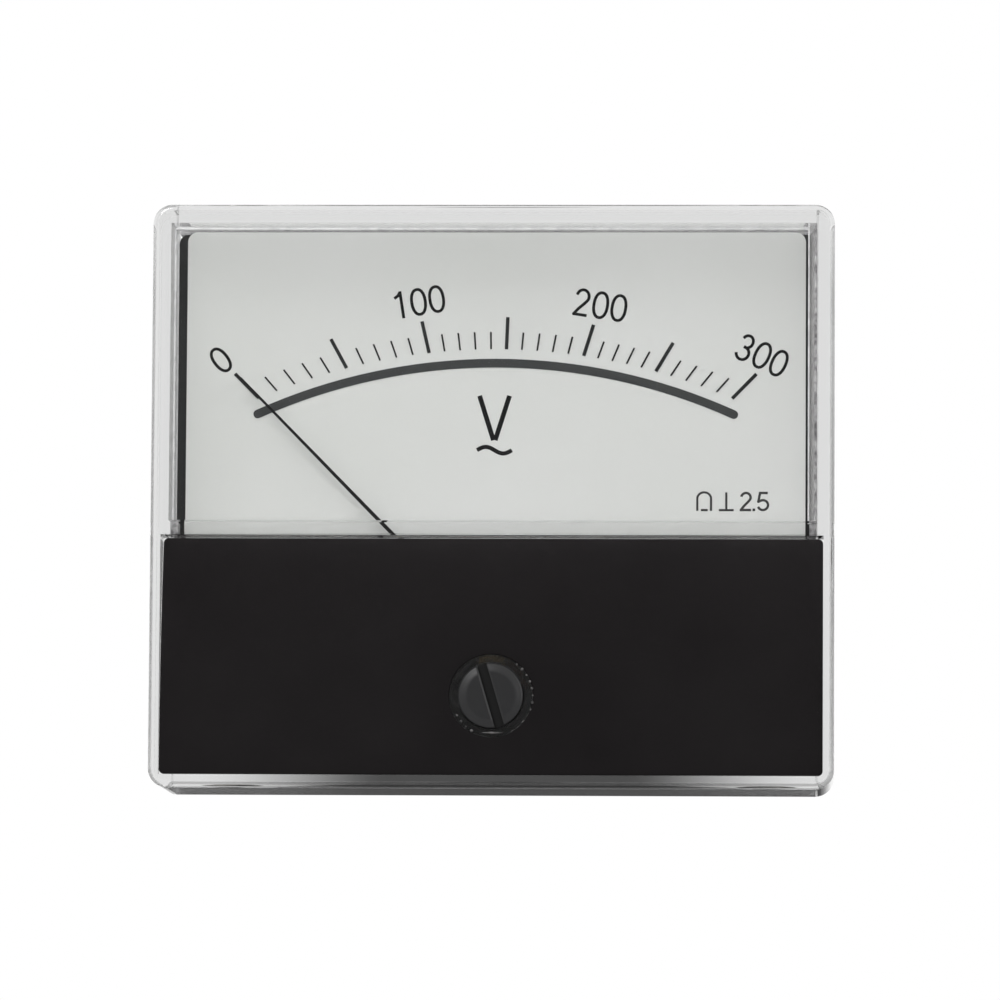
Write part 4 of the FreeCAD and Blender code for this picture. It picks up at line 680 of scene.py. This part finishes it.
def settle(piece, node_or_body, material, slot_name, *replaced):
    """Gives a finished piece its place, finish and body; its slot name is not used."""
    pick(piece)
    bpy.ops.object.transform_apply(location=True, rotation=True, scale=True)
    piece.data.materials.clear()
    piece.data.materials.append(material)
    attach(piece, node_or_body)
    if replaced:
        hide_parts(*replaced)


def join_pieces(name, pieces):
    pick(pieces[0])
    for piece in pieces:
        piece.select_set(True)
    bpy.ops.object.join()
    joined = bpy.context.active_object
    joined.name = name
    joined.data.name = name
    bpy.ops.object.shade_smooth_by_angle(angle=math.radians(35.0))
    return joined


def bar(low, high, lean=0.0, edge=0.05 * MM):
    """A slim bar between two corners; its front left edge is moved right by the lean."""
    bpy.ops.object.select_all(action="DESELECT")
    bpy.ops.mesh.primitive_cube_add(size=1.0, location=(Vector(low) + Vector(high)) / 2,
                                    scale=Vector(high) - Vector(low))
    piece = bpy.context.active_object
    bpy.ops.object.transform_apply(location=True, rotation=True, scale=True)
    for vertex in piece.data.vertices:
        vertex.select = vertex.co.x < (low[0] + high[0]) / 2 and vertex.co.y < (low[1] + high[1]) / 2
    for part in (*piece.data.edges, *piece.data.polygons):
        part.select = all(piece.data.vertices[number].select for number in part.vertices)
    bpy.ops.object.mode_set(mode="EDIT")
    bpy.ops.transform.translate(value=(lean, 0.0, 0.0))
    bpy.ops.object.mode_set(mode="OBJECT")
    rounding = piece.modifiers.new("rounding", "BEVEL")
    rounding.width = edge
    rounding.segments = 2
    apply_modifiers(piece)
    return piece


# %% [markdown]
# ## Draft and bead of the window
# The moulded walls of the window lean a little, so that the cover leaves its mould. On the right
# that shows as a frosted grey band beside the dial, and a fine bright line, a highlight of the
# clear plastic, runs along the rear edge of the walls. The cover is a ready-made solid whose mesh
# is left alone, so these are small pieces of their own: the band is a bar whose front inner edge
# leans outwards, and the bead is three slim bars whose white paints that highlight. Under the
# divider the walls end in two small feet. All this plastic is so rough that a grey with a coarse
# grain stands for it, and shadow rays pass it, as they pass the cover.

# %% Draft and bead
WINDOW_SIDE, WINDOW_TOP = cover_high.x - SIDE_WALL, cover_high.z - SIDE_WALL
DIVIDER_TOP = -2.5 * MM
FOOT_FRONT, FOOT_LOW = -7.5 * MM, -4.6 * MM
DRAFT_WIDTH, DRAFT_LEAN, DRAFT_FRONT, DRAFT_REAR = 0.78 * MM, 0.5 * MM, -10.8 * MM, -5.2 * MM
SKIN = 0.02 * MM
BEAD, BEAD_FRONT, BEAD_REAR = 0.18 * MM, -6.8 * MM, -6.4 * MM


def let_light_pass(material, share):
    """Shadow rays go through this share of the finish."""
    tree = material.node_tree
    choice = add_node(tree, "MixShader")
    passing = add_node(tree, "BsdfTransparent", {"Color": (share, share, share, 1.0)})
    tree.links.new(add_node(tree, "LightPath").outputs["Is Shadow Ray"], choice.inputs[0])
    tree.links.new(tree.nodes["Principled BSDF"].outputs["BSDF"], choice.inputs[1])
    tree.links.new(passing.outputs["BSDF"], choice.inputs[2])
    tree.links.new(choice.outputs["Shader"], tree.nodes["Material Output"].inputs["Surface"])


frosted_grey = grained("frosted_grey", (0.12, 0.115, 0.12), (0.46, 0.455, 0.46), (0.3, 0.5),
                       scale=1800.0, bump=0.7, depth=0.00006, cloud_scale=1500.0)
# Painted highlight: the bead's white stands for the bright line along the edge of the clear walls.
highlight_white = grained("highlight_white", (0.72, 0.72, 0.73), (0.86, 0.86, 0.86), (0.2, 0.35),
                        scale=3000.0, bump=0.3, cloud_scale=700.0)
for frosted in (frosted_grey, highlight_white):
    let_light_pass(frosted, 0.95)
wall = WINDOW_SIDE - SKIN
draft = join_pieces("cover_draft", [
    bar((WINDOW_SIDE - DRAFT_WIDTH, DRAFT_FRONT, DIVIDER_TOP + SKIN),
        (wall, DRAFT_REAR, WINDOW_TOP - DRAFT_LEAN), lean=DRAFT_LEAN),
    bar((WINDOW_SIDE - DRAFT_WIDTH, FOOT_FRONT, FOOT_LOW), (wall, DRAFT_REAR, DIVIDER_TOP)),
    bar((-wall, FOOT_FRONT, FOOT_LOW), (-wall + DRAFT_WIDTH, DRAFT_REAR, DIVIDER_TOP)),
])
settle(draft, "case", frosted_grey, "clear_plastic")
bead_right = WINDOW_SIDE - DRAFT_WIDTH
bead = join_pieces("cover_highlight_bead", [
    bar((-WINDOW_SIDE, BEAD_FRONT, DIVIDER_TOP), (-WINDOW_SIDE + BEAD, BEAD_REAR, WINDOW_TOP)),
    bar((-WINDOW_SIDE, BEAD_FRONT, WINDOW_TOP - BEAD), (bead_right, BEAD_REAR, WINDOW_TOP)),
    bar((bead_right - BEAD, BEAD_FRONT, DIVIDER_TOP), (bead_right, BEAD_REAR, WINDOW_TOP)),
])
settle(bead, "case", highlight_white, "clear_plastic")
print("faces of draft and bead:", len(draft.data.polygons), len(bead.data.polygons))

# %% [markdown]
# ## Nubs round the zero screw
# Along the lower right rim of the boss stands a row of tiny nubs that the mould left. Each one
# glints a little. One is a small ball, flattened by its own scale, and a loop puts them round
# the rim, uneven in size as the real ones are. Straight below the screw the row has a gap, with
# one long low ridge instead. They are of the cover's plastic, too small to look clear, so a
# dark grey stands for it.

# %% Boss nubs
NUB_RADIUS, NUB_ROW = 0.13 * MM, 4.1 * MM
NUB_MIDDLE = (SCREW_X + 0.2 * MM, SCREW_Z - 0.1 * MM)
BOSS_FRONT = screw_low.y + 0.15 * MM
NUB_FIRST, NUB_STEP, NUB_COUNT = -152.0, 10.25, 21
GAP_FROM, GAP_TO = -113.0, -67.0
RIDGE_ROW, RIDGE_LENGTH = 3.7 * MM, 2.2 * MM


def nub(size, turn, row, length=None):
    """A flat little ball on the boss, at this turn round its middle."""
    bpy.ops.object.select_all(action="DESELECT")
    bpy.ops.mesh.primitive_ico_sphere_add(
        subdivisions=2, radius=1.0, scale=((length or 2 * size) / 2, size * 0.7, size),
        location=(NUB_MIDDLE[0] + row * math.cos(math.radians(turn)), BOSS_FRONT,
                  NUB_MIDDLE[1] + row * math.sin(math.radians(turn))))
    bpy.ops.object.transform_apply(location=True, rotation=True, scale=True)
    return bpy.context.active_object


nub_grey = grained("nub_grey", (0.02, 0.019, 0.019), (0.17, 0.165, 0.165), (0.3, 0.5),
                   scale=3000.0, bump=0.3, cloud_scale=1500.0)
nubs = [nub(NUB_RADIUS * 0.8, -90.0, RIDGE_ROW, RIDGE_LENGTH)]
for number in range(NUB_COUNT):
    turn = NUB_FIRST + number * NUB_STEP
    if not GAP_FROM < turn < GAP_TO:
        nubs.append(nub(NUB_RADIUS * (1.0 + 0.3 * math.sin(number * 2.4)), turn, NUB_ROW))
print("nubs:", len(nubs))
settle(join_pieces("boss_nubs", nubs), "case", nub_grey, "clear_plastic")

# %% [markdown]
# ## Threads
# A thread is one ridge that climbs round a core. One tooth is drawn as a plane's four corners,
# and the Screw modifier turns it and lifts it by the pitch at each turn. The ends are filled,
# so the ridge is a closed body that sits a little inside the core. Head, shank and core are
# cylinders, joined with the ridges into one stud that takes the place of the plain one.

# %% Thread maker
ROOT_SINK = 0.08 * MM


def cylinder_along(radius, y_from, y_to, sides=32, edge=0.12 * MM):
    """A cylinder along Y with rounded rims."""
    bpy.ops.object.select_all(action="DESELECT")
    bpy.ops.mesh.primitive_cylinder_add(
        vertices=sides, radius=radius, depth=y_to - y_from,
        location=(0.0, (y_from + y_to) / 2, 0.0), rotation=(math.radians(90.0), 0.0, 0.0))
    piece = bpy.context.active_object
    bpy.ops.object.transform_apply(location=True, rotation=True, scale=True)
    rim = piece.modifiers.new("rim", "BEVEL")
    rim.width = edge
    rim.segments = 2
    rim.angle_limit = math.radians(60.0)
    apply_modifiers(piece)
    return piece


def thread_ridge(core, crest, pitch, y_from, y_to, steps=24):
    """One ridge that winds round the core between two depths."""
    bpy.ops.object.select_all(action="DESELECT")
    bpy.ops.mesh.primitive_plane_add(size=pitch)
    ridge = bpy.context.active_object
    root = core - ROOT_SINK
    tooth = ((root, -0.47), (crest, -0.09), (crest, 0.09), (root, 0.47))
    for corner, (reach, along) in zip((0, 1, 3, 2), tooth):
        ridge.data.vertices[corner].co = (reach, along * pitch, 0.0)
    bpy.ops.object.mode_set(mode="EDIT")
    bpy.ops.mesh.select_all(action="SELECT")
    bpy.ops.mesh.delete(type="ONLY_FACE")
    bpy.ops.object.mode_set(mode="OBJECT")
    climb = ridge.modifiers.new("climb", "SCREW")
    climb.axis = "Y"
    climb.screw_offset = pitch
    climb.iterations = int((y_to - y_from) / pitch - 1)
    climb.steps = climb.render_steps = steps
    apply_modifiers(ridge)
    bpy.ops.object.mode_set(mode="EDIT")
    bpy.ops.mesh.select_all(action="SELECT")
    bpy.ops.mesh.fill_holes(sides=4)
    bpy.ops.mesh.normals_make_consistent(inside=False)
    bpy.ops.object.mode_set(mode="OBJECT")
    low = min(vertex.co.y for vertex in ridge.data.vertices)
    ridge.data.transform(Matrix.Translation((0.0, y_from - low, 0.0)))
    return ridge


def put_copies(pattern, nodes, material, slot_name):
    """A copy of the pattern stands on the axis of each node and takes its place."""
    for node in nodes:
        low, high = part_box(node)
        copy = pattern.copy()
        copy.data = pattern.data.copy()
        copy.name = node + "_threaded"
        copy.data.transform(Matrix.Translation(
            ((low.x + high.x) / 2, 0.0, (low.z + high.z) / 2)))
        bpy.context.scene.collection.objects.link(copy)
        settle(copy, "case", material, slot_name, node)
    bpy.data.objects.remove(pattern)


# %% [markdown]
# ## Mounting studs
# Four M3 studs are moulded into the case's flange by their heads. Their threads show in front
# of the washers and at the tips.

# %% Mounting studs
STUD_CORE, STUD_CREST, STUD_PITCH = 1.3 * MM, 1.5 * MM, 0.5 * MM
STUD_HEAD, STUD_SHANK, HEAD_DEPTH = 2.5 * MM, 2.0 * MM, 1.0 * MM
THREAD_GAP = 0.1 * MM
stud_low, stud_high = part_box("mounting_stud_1")
washer_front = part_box("stud_washer_1")[0].y
nut_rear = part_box("stud_nut_1")[1].y
stud = join_pieces("stud_pattern", [
    cylinder_along(STUD_CORE, stud_low.y + HEAD_DEPTH, stud_high.y, edge=0.3 * MM),
    cylinder_along(STUD_HEAD, stud_low.y, stud_low.y + HEAD_DEPTH),
    cylinder_along(STUD_SHANK, stud_low.y + HEAD_DEPTH, 0.0, edge=0.05 * MM),
    thread_ridge(STUD_CORE, STUD_CREST, STUD_PITCH, THREAD_GAP, washer_front - THREAD_GAP / 2),
    thread_ridge(STUD_CORE, STUD_CREST, STUD_PITCH, nut_rear + THREAD_GAP,
                 stud_high.y - 2 * THREAD_GAP),
])
print("stud triangles:", sum(len(face.vertices) - 2 for face in stud.data.polygons))
put_copies(stud, STUDS, plated_steel, "plated_steel")

# %% [markdown]
# ## Terminal studs
# Two M4 studs carry the wires. Each has a head inside the case, a shoulder that spaces the
# circuit board and a tenon soldered to it.

# %% Terminal studs
END_CORE, END_CREST, END_PITCH = 1.7 * MM, 2.0 * MM, 0.7 * MM
TENON_RADIUS, SHOULDER_RADIUS, SHOULDER_DEPTH = 1.2 * MM, 2.4 * MM, 2.7 * MM
END_HEAD, END_HEAD_DEPTH = 3.6 * MM, 2.2 * MM
end_low, end_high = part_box("terminal_stud_left")
washer_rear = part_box("terminal_washer_left")[1].y
board_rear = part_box("circuit_board")[1].y
shoulder_rear = board_rear + SHOULDER_DEPTH
head_rear = shoulder_rear + END_HEAD_DEPTH
terminal = join_pieces("terminal_pattern", [
    cylinder_along(END_CORE, head_rear, end_high.y, edge=0.4 * MM),
    cylinder_along(TENON_RADIUS, end_low.y, board_rear, edge=0.1 * MM),
    cylinder_along(SHOULDER_RADIUS, board_rear, shoulder_rear, edge=0.1 * MM),
    cylinder_along(END_HEAD, shoulder_rear, head_rear, edge=0.2 * MM),
    thread_ridge(END_CORE, END_CREST, END_PITCH, washer_rear + THREAD_GAP,
                 end_high.y - 3 * THREAD_GAP),
])
print("terminal triangles:", sum(len(face.vertices) - 2 for face in terminal.data.polygons))
put_copies(terminal, TERMINALS, turned_brass, "brass")

# %% [markdown]
# ## Stage
# A white floor lies well below the meter, which hangs in the air as it would in a panel. From
# below the floor is see-through, so that a camera may go there too. The world is plain white to
# the eye and behind the plastic. As a light it is a soft grey, so that the colours of the
# pieces stay as they are written. A reflection finds a dimmer room straight ahead of the meter
# and below it, as in any studio, and that keeps black pieces black. Light that the plastic
# turns back to the front finds the same dimmer room ahead.

# %% Floor and world
FLOOR_SIZE, FLOOR_DROP = 1.5, 0.09
bpy.ops.object.select_all(action="DESELECT")
bpy.ops.mesh.primitive_plane_add(size=FLOOR_SIZE, location=(0.0, 0.0, cad_box[0].z - FLOOR_DROP))
floor = bpy.context.active_object
floor.name = "floor"
floor_paint, tree, shader = new_material("floor_paint")
shader.inputs["Base Color"].default_value = (0.9, 0.9, 0.9, 1.0)
shader.inputs["Roughness"].default_value = 0.8
facing = add_node(tree, "MixShader")
tree.links.new(add_node(tree, "NewGeometry").outputs["Backfacing"], facing.inputs[0])
tree.links.new(shader.outputs["BSDF"], facing.inputs[1])
tree.links.new(add_node(tree, "BsdfTransparent").outputs["BSDF"], facing.inputs[2])
tree.links.new(facing.outputs["Shader"], tree.nodes["Material Output"].inputs["Surface"])
floor.data.materials.append(floor_paint)

world = bpy.data.worlds.new("studio")
bpy.context.scene.world = world
world.use_nodes = True
tree = world.node_tree
AMBIENT = 0.42
ROOM_AHEAD = 0.10
rays = add_node(tree, "LightPath")
heading = add_node(tree, "SeparateXYZ", {"Vector": add_node(tree, "TexCoord").outputs["Generated"]})
room = add_node(tree, "MapRange", {
    "Value": heading.outputs["Y"], "From Min": -0.985, "From Max": -0.85,
    "To Min": ROOM_AHEAD, "To Max": 1.0})
ground = add_node(tree, "MapRange", {
    "Value": heading.outputs["Z"], "From Min": -0.05, "From Max": 0.02,
    "To Min": ROOM_AHEAD, "To Max": 1.0})
below = add_node(tree, "Mix", {
    "Factor": rays.outputs["Is Reflection Ray"], "A": 1.0, "B": ground.outputs["Result"]})
around = add_node(tree, "Math", {0: room.outputs["Result"], 1: below.outputs["Result"]},
                  operation="MINIMUM")
mirrored = add_node(tree, "Mix", {
    "Factor": rays.outputs["Is Glossy Ray"], "A": 1.0, "B": around.outputs["Value"]})
scattered = add_node(tree, "Math", {0: rays.outputs["Diffuse Depth"], 1: 0.5},
                     operation="GREATER_THAN")
level = add_node(tree, "Mix", {
    "Factor": scattered.outputs["Value"], "A": mirrored.outputs["Result"], "B": AMBIENT})
background = tree.nodes["Background"]
background.inputs["Color"].default_value = (1.0, 1.0, 1.0, 1.0)
tree.links.new(level.outputs["Result"], background.inputs["Strength"])
print("floor at height:", round(floor.location.z, 4))

# %% [markdown]
# ## Lamps
# One large lamp stands above and to the left of the camera and a weaker one to the right. Both
# are wide, so shadows are soft.

# %% Lamps
def add_lamp(name, place, size, power):
    bpy.ops.object.light_add(type="AREA", location=place)
    lamp = bpy.context.active_object
    lamp.name = name
    lamp.data.size = size
    lamp.data.energy = power
    lamp.rotation_euler = (-Vector(place)).to_track_quat("-Z", "Y").to_euler()
    print(name, "distance:", round(Vector(place).length, 3))


add_lamp("key_lamp", (-0.45, -0.75, 0.75), 0.5, 6.0)
add_lamp("fill_lamp", (0.8, -0.6, 0.2), 0.6, 1.7)

# %% [markdown]
# ## Camera
# The camera looks a little from the right and from below, from about 0.8 m, which was found by
# matching the corners of the cover, the window and the mask.

# %% Camera
AZIMUTH, ELEVATION, ROLL = 2.615, -5.55, 0.356
DISTANCE = 0.7796
AIM = Vector((0.000268, 0.0, 0.000749))
FOCAL_IN_PIXELS, IMAGE_WIDTH = 7503.2, 1000.0
bpy.ops.object.camera_add()
camera = bpy.context.active_object
azimuth, elevation = math.radians(AZIMUTH), math.radians(ELEVATION)
backwards = Vector((math.sin(azimuth) * math.cos(elevation),
                    -math.cos(azimuth) * math.cos(elevation), math.sin(elevation)))
camera.rotation_mode = "QUATERNION"
camera.location = AIM + backwards * DISTANCE
looking = (-backwards).to_track_quat("-Z", "Y")
camera.rotation_quaternion = looking @ Matrix.Rotation(math.radians(ROLL), 3, "Z").to_quaternion()
camera.data.sensor_width = 36.0
camera.data.lens = camera.data.sensor_width * FOCAL_IN_PIXELS / IMAGE_WIDTH
camera.data.clip_end = 20.0
bpy.context.scene.camera = camera
bpy.context.scene.view_settings.view_transform = "Standard"
print("camera at:", [round(value, 4) for value in camera.location], "lens:", camera.data.lens)
